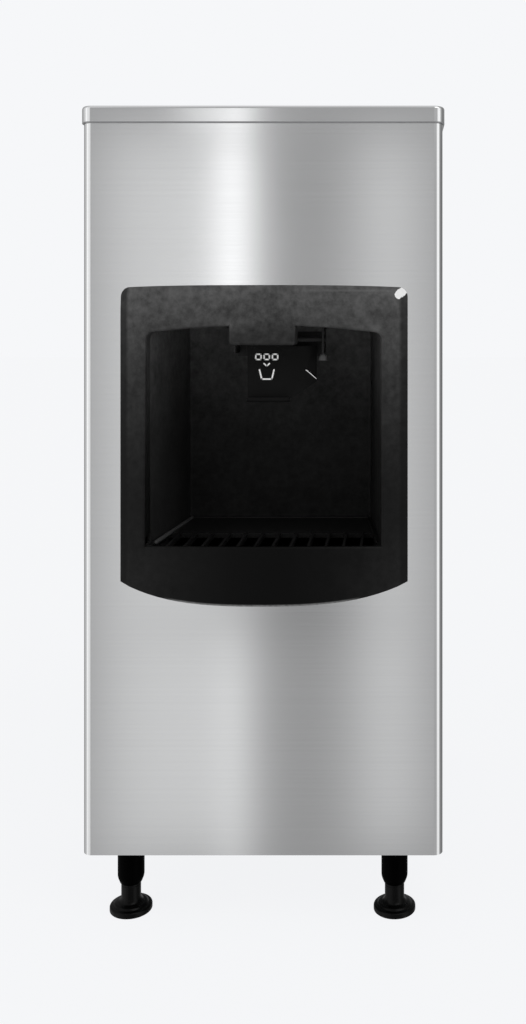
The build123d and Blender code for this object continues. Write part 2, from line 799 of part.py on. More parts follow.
gate_rod_radius = 3.0
gate_setback = 5.0
gate_axis_y = throat_y - gate_setback
gate_axis_z = outlet_z + outlet_height - 2 * gate_rod_radius


def chute_profile(inset):
    """The duct's side view, drawn in by inset."""
    with BuildSketch() as profile:
        Polygon(
            (trough_front_y, throat_bottom_z),
            (throat_y, throat_bottom_z),
            (spout_rear_y, spout_knee_z),
            (spout_rear_y, spout_mouth_z),
            (spout_front_y, spout_mouth_z),
            (spout_front_y, spout_mouth_z + spout_nose_rise),
            (spout_brow_y, spout_shoulder_z),
            (roof_y, throat_top_z),
            (trough_front_y, throat_top_z),
            align=None,
        )
        if inset:
            offset(amount=-inset, kind=Kind.INTERSECTION)
    return profile.sketch_local


with BuildPart() as chute:
    with BuildSketch(Plane.YZ):
        add(chute_profile(0))
    extrude(amount=chute_half, both=True)
    with BuildSketch(Plane.YZ):
        add(chute_profile(chute_wall))
        with Locations((trough_front_y, (throat_bottom_z + throat_top_z) / 2)):
            Rectangle(4 * chute_wall, outlet_height)
        with Locations(((spout_front_y + spout_rear_y) / 2, spout_mouth_z)):
            Rectangle(spout_front + spout_rear - 2 * chute_wall, 4 * chute_wall)
    extrude(amount=chute_half - chute_wall, both=True, mode=Mode.SUBTRACT)
    with BuildSketch(Plane.YZ):
        with Locations((gate_axis_y, gate_axis_z)):
            Circle(gate_rod_radius + shaft_gap)
    extrude(amount=chute_half, both=True, mode=Mode.SUBTRACT)
write(chute, "chute", alcove_x)

# The gate: a flap on a rod through the duct, turned by a crank that a push solenoid lifts

gate_gap = 1.2
gate_sheet = 2.0
gate_collar_radius = 5.0
gate_collar_width = 4.0
crank_length = 18.0
crank_width = 5.0
crank_pin_radius = 2.0
crank_pin_length = 10.0
gate_inner_half = chute_half - chute_wall
gate_floor_z = throat_bottom_z + chute_wall - (throat_y - gate_axis_y) * chute_slope
crank_x = chute_half + running_gap

with BuildPart() as gate_flap:
    with BuildSketch(Plane.YZ.offset(-chute_half - gate_collar_width - running_gap)):
        with Locations((gate_axis_y, gate_axis_z)):
            Circle(gate_rod_radius)
    extrude(amount=2 * chute_half + gate_collar_width + crank_width + 2 * running_gap)
    with BuildSketch(Plane.YZ.offset(-chute_half - gate_collar_width - running_gap)):
        with Locations((gate_axis_y, gate_axis_z)):
            Circle(gate_collar_radius)
    extrude(amount=gate_collar_width)
    with BuildSketch(Plane.YZ):
        with Locations((gate_axis_y, (gate_axis_z + gate_floor_z + gate_gap) / 2)):
            Rectangle(gate_sheet, gate_axis_z - gate_floor_z - gate_gap)
    extrude(amount=gate_inner_half - gate_gap, both=True)
write(gate_flap, "gate_flap", alcove_x)

crank_pin_y = gate_axis_y - crank_length
with BuildPart() as gate_crank:
    with BuildSketch(Plane.YZ.offset(crank_x)):
        SlotCenterToCenter(crank_length, 2 * gate_collar_radius)
        with Locations((gate_axis_y - crank_length / 2, gate_axis_z)):
            SlotCenterToCenter(crank_length, 2 * gate_collar_radius)
        SlotCenterToCenter(crank_length, 2 * gate_collar_radius, mode=Mode.SUBTRACT)
        with Locations((gate_axis_y, gate_axis_z)):
            Circle(gate_rod_radius, mode=Mode.SUBTRACT)
    extrude(amount=crank_width)
    with BuildSketch(Plane.YZ.offset(crank_x + crank_width)):
        with Locations((crank_pin_y, gate_axis_z)):
            Circle(crank_pin_radius)
    extrude(amount=crank_pin_length)
write(gate_crank, "gate_crank", alcove_x)

solenoid_size = 32.0
solenoid_height = 46.0
solenoid_drop = 24.0
solenoid_bore_radius = 5.0
solenoid_x = crank_x + crank_width + crank_pin_length / 2
solenoid_back_x = chute_half + frame_sheet
solenoid_top_z = gate_axis_z - solenoid_drop
plunger_radius = 4.9
plunger_depth = 30.0
clevis_length = 14.0
clevis_height = 13.0
clevis_sheet = 3.0
clevis_slot = 0.9
with BuildPart() as gate_solenoid:
    with BuildSketch(Plane.XY.offset(solenoid_top_z - solenoid_height)):
        with Locations((solenoid_back_x + solenoid_size / 2, crank_pin_y)):
            Rectangle(solenoid_size, solenoid_size)
    extrude(amount=solenoid_height)
    with BuildSketch(Plane.XY.offset(solenoid_top_z)):
        with Locations((solenoid_x, crank_pin_y)):
            Circle(solenoid_bore_radius)
    extrude(amount=-solenoid_height, mode=Mode.SUBTRACT)
write(gate_solenoid, "gate_solenoid", alcove_x)

with BuildPart() as solenoid_plunger:
    with BuildSketch(Plane.XY.offset(solenoid_top_z - plunger_depth)):
        with Locations((solenoid_x, crank_pin_y)):
            Circle(plunger_radius)
    extrude(amount=solenoid_drop + plunger_depth - clevis_height / 2)
    with BuildSketch(Plane.YZ.offset(solenoid_x - clevis_sheet / 2)):
        with Locations((crank_pin_y + crank_pin_radius, gate_axis_z)):
            RectangleRounded(clevis_length, clevis_height, frame_sheet)
            SlotOverall(
                clevis_length - 2 * frame_sheet, 2 * (crank_pin_radius + clevis_slot), mode=Mode.SUBTRACT
            )
    extrude(amount=clevis_sheet)
write(solenoid_plunger, "solenoid_plunger", alcove_x)

with BuildPart() as solenoid_bracket:
    with BuildSketch(Plane.YZ.offset(chute_half)):
        with Locations((crank_pin_y, solenoid_top_z - solenoid_height / 2)):
            Rectangle(solenoid_size, solenoid_height)
    extrude(amount=frame_sheet)
    with BuildSketch(Plane.YZ.offset(chute_half)):
        with Locations((crank_pin_y, solenoid_top_z - solenoid_height - frame_sheet / 2)):
            Rectangle(solenoid_size, frame_sheet)
    extrude(amount=frame_sheet + solenoid_size)
write(solenoid_bracket, "solenoid_bracket", alcove_x)

# The hopper: a funnel over a round-bottomed trough, with its insulation and the paddle wheel

trough_bottom_z = wheel_z - trough_radius
front_throat_z = wheel_z + front_throat_rise
rear_throat_z = wheel_z + throat_rise
hopper_drain_inset = 36.0
hopper_drain_y = trough_rear_y - hopper_drain_inset


def hopper_side(grow):
    """The hopper in side view, its walls moved out by grow."""
    with BuildSketch() as side:
        Polygon(
            (mouth_front_y, frame_top_z),
            (mouth_front_y, front_throat_z + front_funnel_rise),
            (trough_front_y, front_throat_z),
            (trough_front_y, trough_bottom_z),
            (trough_rear_y, trough_bottom_z),
            (trough_rear_y, rear_throat_z),
            (mouth_rear_y, rear_throat_z + funnel_rise),
            (mouth_rear_y, frame_top_z),
            align=None,
        )
        if grow:
            offset(amount=grow, kind=Kind.INTERSECTION)
    return side.sketch_local


def hopper_front(grow):
    """The hopper in front view, its walls moved out by grow."""
    with BuildSketch() as front:
        with BuildLine():
            Polyline(
                (trough_radius, wheel_z),
                (trough_radius, rear_throat_z),
                (mouth_half, rear_throat_z + funnel_rise),
                (mouth_half, frame_top_z),
                (-mouth_half, frame_top_z),
                (-mouth_half, rear_throat_z + funnel_rise),
                (-trough_radius, rear_throat_z),
                (-trough_radius, wheel_z),
            )
            ThreePointArc((-trough_radius, wheel_z), (0, trough_bottom_z), (trough_radius, wheel_z))
        make_face()
        if grow:
            offset(amount=grow, kind=Kind.INTERSECTION)
    return front.sketch_local


def hopper_form(grow, top):
    """The hopper as a solid, its walls moved out by grow, cut off level at the top."""
    with BuildPart() as form:
        with BuildSketch(Plane.YZ):
            add(hopper_side(grow))
        extrude(amount=half_width, both=True)
        with BuildSketch(Plane.XZ):
            add(hopper_front(grow))
        extrude(amount=total_depth, both=True, mode=Mode.INTERSECT)
        with BuildSketch(Plane.XY.offset(top)):
            Rectangle(2 * total_depth, 2 * total_depth)
        extrude(amount=insulation + hopper_wall + overrun, mode=Mode.SUBTRACT)
    return form.part


hopper_cavity = hopper_form(0, frame_top_z)
hopper_skin = hopper_form(hopper_wall, frame_top_z)
bush_radius = 16.0
bush_seat_length = 12.0

with BuildPart() as hopper_shell:
    add(hopper_skin)
    with BuildSketch(Plane.XY.offset(frame_top_z)):
        with Locations((0, (mouth_front_y + mouth_rear_y) / 2)):
            Rectangle(
                2 * (mouth_half + ring_gap + rim_flange),
                mouth_rear_y - mouth_front_y + 2 * (ring_gap + rim_flange),
            )
            Rectangle(2 * mouth_half, mouth_rear_y - mouth_front_y, mode=Mode.SUBTRACT)
    extrude(amount=hopper_wall)
    with BuildSketch(Plane.XZ.offset(-trough_front_y)):
        with Locations((alcove_x, (throat_bottom_z + throat_top_z) / 2)):
            Rectangle(chute_width + 2 * running_gap, throat_top_z - throat_bottom_z + 2 * running_gap)
    extrude(amount=2 * hopper_wall, mode=Mode.SUBTRACT)
    with BuildSketch(Plane.XZ.offset(-trough_front_y + 2 * hopper_wall)):
        with Locations((0, wheel_z)):
            Circle(bush_radius + running_gap)
    extrude(amount=trough_front_y - trough_rear_y - 4 * hopper_wall, mode=Mode.SUBTRACT)
    with BuildSketch(Plane.XY.offset(trough_bottom_z)):
        with Locations((0, hopper_drain_y)):
            Circle(spud_outer_radius)
    extrude(amount=-hopper_wall - insulation - spud_length)
    add(hopper_cavity, mode=Mode.SUBTRACT)
    with BuildSketch(Plane.XY.offset(trough_bottom_z + hopper_wall)):
        with Locations((0, hopper_drain_y)):
            Circle(spud_bore_radius)
    extrude(amount=-insulation - spud_length - 2 * hopper_wall, mode=Mode.SUBTRACT)

# The hopper is welded: upright plates and a front slope stand on the funnel and trough
plate_bottom_z = rear_throat_z + funnel_rise
plate_seams = [
    Plane.XY.offset(front_throat_z + front_funnel_rise),
    Plane.YZ.offset(-mouth_half),
    Plane.YZ.offset(mouth_half),
]
with BuildPart() as hopper_funnel:
    add(hopper_shell.part)
    split(bisect_by=Plane.XY.offset(plate_bottom_z), keep=Keep.BOTTOM)
with BuildPart() as hopper_plates:
    add(hopper_shell.part)
    split(bisect_by=Plane.XY.offset(plate_bottom_z), keep=Keep.TOP)
    for seam in plate_seams:
        split(bisect_by=seam, keep=Keep.BOTH)
with BuildPart() as hopper_liner:
    add(hopper_funnel.part.solids() + hopper_plates.part.solids(), mode=Mode.REPLACE)
write(hopper_liner, "hopper_liner")

with BuildPart() as hopper_insulation:
    add(hopper_form(hopper_wall + insulation, panel_top_z - build_gap))
    add(hopper_skin, mode=Mode.SUBTRACT)
    with BuildSketch(Plane.XZ.offset(-trough_front_y)):
        with Locations((alcove_x, (throat_bottom_z + throat_top_z) / 2)):
            Rectangle(chute_width + 2 * build_gap, throat_top_z - throat_bottom_z + 2 * build_gap)
    extrude(amount=2 * insulation, mode=Mode.SUBTRACT)
    with BuildSketch(Plane.XZ.offset(-trough_front_y)):
        with Locations((0, wheel_z)):
            Circle(bush_radius + build_gap)
    extrude(amount=bush_seat_length + build_gap, mode=Mode.SUBTRACT)
    with BuildSketch(Plane.XZ.offset(-trough_rear_y)):
        with Locations((0, wheel_z)):
            Circle(bush_radius + build_gap)
    extrude(amount=-2 * insulation, mode=Mode.SUBTRACT)
    with BuildSketch(Plane.XY.offset(trough_bottom_z)):
        with Locations((0, hopper_drain_y)):
            Circle(spud_outer_radius + running_gap)
    extrude(amount=-2 * insulation, mode=Mode.SUBTRACT)
write(hopper_insulation, "hopper_insulation")

bush_flange_radius = 22.0
bush_flange = 4.0
bush_end = 3.0
shaft_front_y = trough_front_y - bush_seat_length + bush_end + running_gap
with BuildPart() as front_bush:
    with BuildSketch(Plane.XZ.offset(-trough_front_y + bush_seat_length)):
        with Locations((0, wheel_z)):
            Circle(bush_radius)
    extrude(amount=-bush_seat_length)
    with BuildSketch(Plane.XZ.offset(-trough_front_y)):
        with Locations((0, wheel_z)):
            Circle(bush_flange_radius)
    extrude(amount=-bush_flange)
    with BuildSketch(Plane.XZ.offset(-trough_front_y + bush_seat_length - bush_end)):
        with Locations((0, wheel_z)):
            Circle(shaft_radius + shaft_gap)
    extrude(amount=-bush_seat_length - bush_flange, mode=Mode.SUBTRACT)
write(front_bush, "front_bush")

with BuildPart() as rear_bush:
    with BuildSketch(Plane.XZ.offset(-trough_rear_y)):
        with Locations((0, wheel_z)):
            Circle(bush_radius)
    extrude(amount=-hopper_wall - insulation - frame_sheet)
    with BuildSketch(Plane.XZ.offset(-trough_rear_y)):
        with Locations((0, wheel_z)):
            Circle(bush_flange_radius)
    extrude(amount=bush_flange)
    with BuildSketch(Plane.XZ.offset(-trough_rear_y + bush_flange)):
        with Locations((0, wheel_z)):
            Circle(shaft_radius + shaft_gap)
    extrude(amount=-2 * insulation, mode=Mode.SUBTRACT)
write(rear_bush, "rear_bush")

wheel_setback = 5.0
wheel_width = 72.0
hub_radius = 22.0
hub_length = 76.0
vane_count = 8
vane_sheet = 4.0
vane_tip_gap = 2.0
ring_radius = 84.0
ring_sheet = 5.0
wheel_front_y = trough_front_y + wheel_setback
vane_root = (shaft_radius + hub_radius) / 2
vane_tip = wheel_radius - vane_tip_gap
with BuildPart() as paddle_wheel:
    with BuildSketch(Plane.XZ.offset(-wheel_front_y)):
        with Locations((0, wheel_z)):
            Circle(hub_radius)
    extrude(amount=-hub_length)
    with BuildSketch(Plane.XZ.offset(-wheel_front_y)):
        with Locations((0, wheel_z)):
            Circle(ring_radius)
            Circle(ring_radius - ring_sheet, mode=Mode.SUBTRACT)
            with PolarLocations((vane_root + vane_tip) / 2, vane_count):
                Rectangle(vane_tip - vane_root, vane_sheet)
    extrude(amount=-wheel_width)
    with BuildSketch(Plane.XZ.offset(-wheel_front_y)):
        with Locations((0, wheel_z)):
            Circle(shaft_radius)
    extrude(amount=-hub_length, mode=Mode.SUBTRACT)
write(paddle_wheel, "paddle_wheel")

agitator_gap = 14.0
agitator_radius = 122.0
agitator_rod = 5.0
agitator_bosses = 3
agitator_y = wheel_front_y + hub_length + agitator_gap
agitator_length = trough_rear_y - bush_flange - agitator_gap - agitator_y
agitator_pitch = agitator_length / agitator_bosses
with BuildPart() as agitator:
    with BuildSketch(Plane.XZ.offset(-agitator_y)):
        with Locations((0, wheel_z)):
            Circle(hub_radius)
            Circle(shaft_radius, mode=Mode.SUBTRACT)
    extrude(amount=-agitator_length)
    for turn in range(agitator_bosses):
        rod_y = agitator_y + (turn + 1 / 2) * agitator_pitch
        for half_turn in (0, 180):
            tilt = turn * 180 / agitator_bosses + half_turn
            direction = Vector(math.cos(math.radians(tilt)), 0, math.sin(math.radians(tilt)))
            foot = Vector(0, rod_y, wheel_z) + direction * (hub_radius - agitator_rod / 2)
            with BuildSketch(Plane(origin=foot, x_dir=(0, 1, 0), z_dir=direction)):
                Rectangle(2 * agitator_rod, agitator_rod)
            extrude(amount=agitator_radius - hub_radius)
write(agitator, "agitator")

# The drive behind the bulkhead

bracket_size = 150.0
bracket_sheet = 4.0
gearbox_width = 112.0
gearbox_height = 116.0
gearbox_depth = 78.0
gearbox_round = 10.0
motor_radius = 35.0
motor_length = 150.0
motor_drop = 44.0
motor_fin_count = 5
motor_fin_height = 2.5
motor_fin_sheet = 3.0
terminal_box_size = 56.0
terminal_box_height = 26.0
shaft_tail = 8.0
bracket_y = bulkhead_y + frame_sheet
gearbox_y = bracket_y + bracket_sheet
gearbox_z = wheel_z - motor_drop / 2
motor_y = gearbox_y + gearbox_depth / 2
motor_z = wheel_z - motor_drop
gearbox_bolt_radius = 4.0
gearbox_bolt_places = [
    (across * (gearbox_width / 2 - gearbox_round), gearbox_z + up * (gearbox_height / 2 - gearbox_round))
    for across in (-1, 1)
    for up in (-1, 1)
]

with BuildPart() as motor_bracket:
    with BuildSketch(Plane.XZ.offset(-bracket_y)):
        with Locations((0, gearbox_z)):
            Rectangle(bracket_size, bracket_size)
        with Locations((0, wheel_z)):
            Circle(bulkhead_hole_radius, mode=Mode.SUBTRACT)
    extrude(amount=-bracket_sheet)
write(motor_bracket, "motor_bracket")

with BuildPart() as gear_motor:
    with BuildSketch(Plane.XZ.offset(-gearbox_y)):
        with Locations((0, gearbox_z)):
            RectangleRounded(gearbox_width, gearbox_height, gearbox_round)
    extrude(amount=-gearbox_depth)
    with BuildSketch(Plane.YZ.offset(gearbox_width / 2)):
        with Locations((motor_y, motor_z)):
            Circle(motor_radius)
    extrude(amount=motor_length)
    for fin in range(motor_fin_count):
        fin_x = gearbox_width / 2 + (fin + 1) * motor_length / (motor_fin_count + 2)
        with BuildSketch(Plane.YZ.offset(fin_x)):
            with Locations((motor_y, motor_z)):
                Circle(motor_radius + motor_fin_height)
        extrude(amount=motor_fin_sheet)
    with BuildSketch(Plane.XY.offset(motor_z)):
        with Locations((gearbox_width / 2 + motor_length / 2, motor_y)):
            Rectangle(terminal_box_size, terminal_box_size)
    extrude(amount=-motor_radius - terminal_box_height)
    with BuildSketch(Plane.XZ.offset(-gearbox_y - gearbox_depth)):
        with Locations(gearbox_bolt_places):
            RegularPolygon(gearbox_bolt_radius + frame_sheet, 6)
    extrude(amount=-gearbox_bolt_radius)
    with BuildSketch(Plane.XZ.offset(-gearbox_y)):
        with Locations((0, wheel_z)):
            Circle(shaft_radius + shaft_gap)
    extrude(amount=-gearbox_depth - overrun, mode=Mode.SUBTRACT)
write(gear_motor, "gear_motor")

with BuildPart() as drive_shaft:
    with BuildSketch(Plane.XZ.offset(-shaft_front_y)):
        with Locations((0, wheel_z)):
            Circle(shaft_radius)
    extrude(amount=-(gearbox_y + gearbox_depth + shaft_tail - shaft_front_y))
    chamfer(drive_shaft.faces().sort_by(Axis.Y)[-1].edges(), length=frame_sheet)
write(drive_shaft, "drive_shaft")

# The lever that calls for ice, its bracket under the alcove's ceiling and its switch

lever_half = 33.5
lever_length = 100.0
lever_sheet = 4.0
lever_hub_radius = 8.0
lever_pin_radius = 4.0
lever_curl_radius = 8.0
lever_bottom_z = lever_pivot_z - lever_length
lever_front_y = lever_pivot_y - lever_sheet - lever_sheet / 2
lever_back_y = lever_front_y + lever_sheet
lever_curl_z = lever_bottom_z + lever_curl_radius
wing_half = 75.0
wing_depth = 22.0
wing_sheet = 3.0
wing_top_drop = 11.0
wing_shoulder_drop = 68.0
wing_toe_drop = 94.0
wing_top_z = lever_pivot_z - wing_top_drop
wing_shoulder_z = lever_pivot_z - wing_shoulder_drop
wing_toe_z = lever_pivot_z - wing_toe_drop
lug_drop = 12.0
lug_half = 6.0
lug_height = 10.0
lug_reach = 8.0
stiffener_depth = 12.0

with BuildPart() as lever:
    with BuildSketch(Plane.YZ):
        with Locations((lever_pivot_y, lever_pivot_z)):
            Circle(lever_hub_radius)
        with Locations((lever_front_y + lever_sheet / 2, (lever_pivot_z + lever_curl_z) / 2)):
            Rectangle(lever_sheet, lever_pivot_z - lever_curl_z)
        with Locations((lever_back_y - lever_curl_radius, lever_curl_z)):
            Circle(lever_curl_radius)
            Circle(lever_curl_radius - lever_sheet, mode=Mode.SUBTRACT)
        with Locations((lever_back_y - lever_curl_radius, lever_curl_z + lever_curl_radius)):
            Rectangle(2 * lever_curl_radius, 2 * lever_curl_radius, mode=Mode.SUBTRACT)
        with Locations((lever_front_y + lever_sheet / 2, (lever_pivot_z + lever_curl_z) / 2)):
            Rectangle(lever_sheet, lever_pivot_z - lever_curl_z)
    extrude(amount=lever_half, both=True)
    with BuildPart(mode=Mode.PRIVATE) as wing:
        with BuildSketch(Plane.XY.offset(wing_toe_z)):
            Polygon(
                (lever_half - wing_sheet, lever_front_y),
                (lever_half, lever_front_y),
                (wing_half, lever_front_y + wing_depth),
                (wing_half, lever_front_y + wing_depth + wing_sheet),
                (lever_half - wing_sheet, lever_back_y),
                align=None,
            )
        extrude(amount=wing_top_z - wing_toe_z)
        with BuildSketch(Plane.XZ.offset(-lever_front_y)):
            Polygon(
                (lever_half - wing_sheet, wing_toe_z),
                (lever_half + wing_sheet, wing_toe_z),
                (wing_half, wing_shoulder_z),
                (wing_half, wing_top_z),
                (lever_half - wing_sheet, wing_top_z),
                align=None,
            )
        extrude(amount=-wing_depth - 2 * overrun, mode=Mode.INTERSECT)
    add(wing.part)
    with BuildSketch(Plane.YZ.offset(-lever_half)):
        Polygon(
            (lever_back_y, lever_pivot_z),
            (lever_back_y + stiffener_depth, lever_pivot_z - lever_hub_radius),
            (lever_back_y, lever_curl_z),
            align=None,
        )
    extrude(amount=wing_sheet)
    with BuildSketch(Plane.YZ):
        with Locations(((lever_back_y + lever_pivot_y + lug_reach) / 2, lever_pivot_z - lug_drop)):
            Rectangle(lever_pivot_y + lug_reach - lever_back_y, lug_height)
    extrude(amount=lug_half, both=True)
    with BuildSketch(Plane.YZ):
        with Locations((lever_pivot_y, lever_pivot_z)):
            Circle(lever_pin_radius + shaft_gap)
    extrude(amount=wing_half, both=True, mode=Mode.SUBTRACT)
write(lever, "lever", alcove_x)

brace_radius = 1.6
brace_start_x = 58.8
brace_end_x = 74.0
brace_start_drop = 49.4
brace_end_drop = 63.2
brace_start = Vector(brace_start_x, 0, lever_pivot_z - brace_start_drop)
brace_end = Vector(brace_end_x, 0, lever_pivot_z - brace_end_drop)
wing_slope = wing_depth / (wing_half - lever_half)
brace_offset = (brace_radius + shaft_gap) * math.hypot(1, wing_slope)
with BuildPart() as lever_brace:
    brace_points = [
        Vector(point.X, lever_front_y + (point.X - lever_half) * wing_slope - brace_offset, point.Z)
        for point in (brace_start, brace_end)
    ]
    brace_direction = brace_points[1] - brace_points[0]
    with BuildSketch(Plane(origin=brace_points[0], z_dir=brace_direction)):
        Circle(brace_radius)
    extrude(amount=brace_direction.length)
    for point in brace_points:
        with Locations(point):
            Sphere(brace_radius)
write(lever_brace, "lever_brace", alcove_x)

cheek_drop = 22.0
web_drop = 28.0
web_rise = 12.0
cheek_bottom_z = lever_pivot_z - cheek_drop
web_bottom_z = lever_pivot_z - web_drop
web_top_z = lever_pivot_z + web_rise
bracket_screw_length = cheek_sheet + 2 * liner_wall
with BuildPart() as lever_bracket:
    for edge_x, side in ((cheek_left_x, -1), (cheek_right_x, 1)):
        with BuildSketch(Plane.YZ.offset(edge_x)):
            with Locations((cheek_back_y - bracket_length / 2, (cheek_bottom_z + ceiling_z) / 2)):
                Rectangle(bracket_length, ceiling_z - cheek_bottom_z)
        extrude(amount=side * cheek_sheet)
        with BuildSketch(Plane.XY.offset(ceiling_z - cheek_sheet)):
            with Locations((edge_x + side * cheek_flange / 2, cheek_back_y - bracket_length / 2)):
                Rectangle(cheek_flange, bracket_length)
        extrude(amount=cheek_sheet)
    with BuildSketch(Plane.XZ.offset(-lever_pivot_y - web_setback)):
        with Locations(((cheek_left_x + cheek_right_x) / 2, (web_bottom_z + web_top_z) / 2)):
            Rectangle(cheek_right_x - cheek_left_x + 2 * cheek_sheet, web_top_z - web_bottom_z)
    extrude(amount=-cheek_sheet)
    with BuildSketch(Plane.YZ.offset(cheek_left_x - 2 * cheek_sheet)):
        with Locations((lever_pivot_y, lever_pivot_z)):
            Circle(lever_pin_radius)
    extrude(amount=cheek_right_x - cheek_left_x + 4 * cheek_sheet, mode=Mode.SUBTRACT)
    with BuildSketch(Plane.XY.offset(ceiling_z)):
        with Locations(bracket_screw_places):
            Circle(bracket_screw_radius + screw_gap)
    extrude(amount=-cheek_sheet, mode=Mode.SUBTRACT)
write(lever_bracket, "lever_bracket", alcove_x)

with BuildPart() as bracket_screws:
    bracket_screw = hex_screw(
        bracket_screw_radius, screw_head_radius, screw_head_height, bracket_screw_length
    )
    for x, y in bracket_screw_places:
        add(Plane(origin=(x, y, ceiling_z - cheek_sheet), z_dir=(0, 0, -1)).location * bracket_screw)
write(bracket_screws, "bracket_screws", alcove_x)

pin_head_radius = 6.5
with BuildPart() as lever_pin:
    with BuildSketch(Plane.YZ.offset(cheek_left_x - 2 * cheek_sheet)):
        with Locations((lever_pivot_y, lever_pivot_z)):
            Circle(lever_pin_radius)
    extrude(amount=cheek_right_x - cheek_left_x + 4 * cheek_sheet)
    for head_x, side in ((cheek_left_x - cheek_sheet, -1), (cheek_right_x + cheek_sheet, 1)):
        with BuildSketch(Plane.YZ.offset(head_x)):
            with Locations((lever_pivot_y, lever_pivot_z)):
                Circle(pin_head_radius)
        extrude(amount=side * cheek_sheet)
write(lever_pin, "lever_pin", alcove_x)

switch_width = 28.0
switch_height = 22.0
switch_depth = 22.0
switch_plunger_radius = 2.0
switch_travel_gap = 0.4
switch_x = 4.0
switch_front_y = lever_pivot_y + web_setback - switch_depth
switch_plunger_y = lever_pivot_y + lug_reach + switch_travel_gap
with BuildPart() as lever_switch:
    with BuildSketch(Plane.XZ.offset(-switch_front_y)):
        with Locations((switch_x, lever_pivot_z - lug_drop)):
            Rectangle(switch_width, switch_height)
    extrude(amount=-switch_depth)
    with BuildSketch(Plane.XZ.offset(-switch_front_y)):
        with Locations((0, lever_pivot_z - lug_drop)):
            Circle(switch_plunger_radius + shaft_gap)
    extrude(amount=-switch_depth / 2, mode=Mode.SUBTRACT)
write(lever_switch, "lever_switch", alcove_x)

with BuildPart() as switch_plunger:
    with BuildSketch(Plane.XZ.offset(-switch_plunger_y)):
        with Locations((0, lever_pivot_z - lug_drop)):
            Circle(switch_plunger_radius)
    extrude(amount=-(switch_front_y + switch_depth / 4 - switch_plunger_y))
write(switch_plunger, "switch_plunger", alcove_x)

# The drain: a hose from the basin and one from the hopper, a tee and the outlet in the back

hose_bend = 42.0
tee_reach = 30.0
basin_hose_top_z = basin_floor_z - running_gap
hopper_hose_top_z = trough_bottom_z - hopper_wall - insulation - running_gap
tee_front_y = hopper_drain_y - tee_reach
tee_spigot = 24.0
drain_y = rear_y + drain_reach

with BuildPart() as basin_hose:
    with BuildLine() as basin_route:
        Line((0, basin_spud_y, basin_hose_top_z), (0, basin_spud_y, drain_z + hose_bend))
        ThreePointArc(
            (0, basin_spud_y, drain_z + hose_bend),
            (
                0,
                basin_spud_y + hose_bend * (1 - math.sqrt(1 / 2)),
                drain_z + hose_bend * (1 - math.sqrt(1 / 2)),
            ),
            (0, basin_spud_y + hose_bend, drain_z),
        )
        Line((0, basin_spud_y + hose_bend, drain_z), (0, tee_front_y, drain_z))
    with BuildSketch(Plane.XY.offset(basin_hose_top_z)):
        with Locations((0, basin_spud_y)):
            Circle(hose_outer_radius)
            Circle(hose_bore_radius, mode=Mode.SUBTRACT)
    sweep(path=basin_route.wires()[0])
write(basin_hose, "basin_hose")

with BuildPart() as hopper_hose:
    with BuildSketch(Plane.XY.offset(drain_z + drain_outer_radius)):
        with Locations((0, hopper_drain_y)):
            Circle(hose_outer_radius)
            Circle(hose_bore_radius, mode=Mode.SUBTRACT)
    extrude(amount=hopper_hose_top_z - drain_z - drain_outer_radius)
write(hopper_hose, "hopper_hose")

with BuildPart() as drain_outlet:
    with BuildSketch(Plane.XZ.offset(-tee_front_y)):
        with Locations((0, drain_z)):
            Circle(drain_outer_radius)
    extrude(amount=-(drain_y - tee_front_y))
    with BuildSketch(Plane.XZ.offset(-tee_front_y)):
        with Locations((0, drain_z)):
            Circle(spud_outer_radius)
    extrude(amount=tee_spigot)
    with BuildSketch(Plane.XY.offset(drain_z)):
        with Locations((0, hopper_drain_y)):
            Circle(spud_outer_radius)
    extrude(amount=drain_outer_radius + tee_spigot)
    with BuildSketch(Plane.XZ.offset(-drain_y)):
        with Locations((0, drain_z)):
            Circle(drain_bore_radius)
    extrude(amount=drain_y - tee_front_y - 2 * frame_sheet, mode=Mode.SUBTRACT)
    with BuildSketch(Plane.XZ.offset(-drain_y)):
        with Locations((0, drain_z)):
            Circle(drain_socket_radius)
    extrude(amount=drain_socket_depth, mode=Mode.SUBTRACT)
    with BuildSketch(Plane.XZ.offset(-drain_y)):
        with Locations((0, drain_z)):
            Circle(spud_bore_radius)
    extrude(amount=drain_y - tee_front_y + tee_spigot, mode=Mode.SUBTRACT)
    with BuildSketch(Plane.XY.offset(drain_z)):
        with Locations((0, hopper_drain_y)):
            Circle(spud_bore_radius)
    extrude(amount=drain_outer_radius + tee_spigot, mode=Mode.SUBTRACT)
write(drain_outlet, "drain_outlet")

locknut_flats = 46.0
locknut_height = 7.0
with BuildPart() as drain_locknuts:
    for face_y, side in ((rear_y, -1), (rear_y - steel, 1)):
        with BuildSketch(Plane.XZ.offset(-face_y)):
            with Locations((0, drain_z)):
                RegularPolygon(locknut_flats / 2, 6, major_radius=False)
                Circle(drain_outer_radius + running_gap, mode=Mode.SUBTRACT)
        extrude(amount=side * locknut_height)
write(drain_locknuts, "drain_locknuts")

# The control box on the left side panel, reached through the service cover

box_depth = 100.0
box_width = 180.0
box_height = 200.0
box_sheet = 1.5
box_x = -half_width + steel
box_setback = 130.0
box_rise = 310.0
box_y = rear_y - box_setback
box_z = base_z + box_rise
with BuildPart() as control_box:
    with BuildSketch(Plane.YZ.offset(box_x)):
        with Locations((box_y, box_z)):
            Rectangle(box_width, box_height)
    extrude(amount=box_depth)
    with BuildSketch(Plane.YZ.offset(box_x + box_sheet)):
        with Locations((box_y, box_z)):
            Rectangle(box_width - 2 * box_sheet, box_height - 2 * box_sheet)
    extrude(amount=box_depth, mode=Mode.SUBTRACT)
write(control_box, "control_box")

with BuildPart() as control_cover:
    with BuildSketch(Plane.YZ.offset(box_x + box_depth)):
        with Locations((box_y, box_z)):
            Rectangle(box_width, box_height)
    extrude(amount=box_sheet)
write(control_cover, "control_cover")

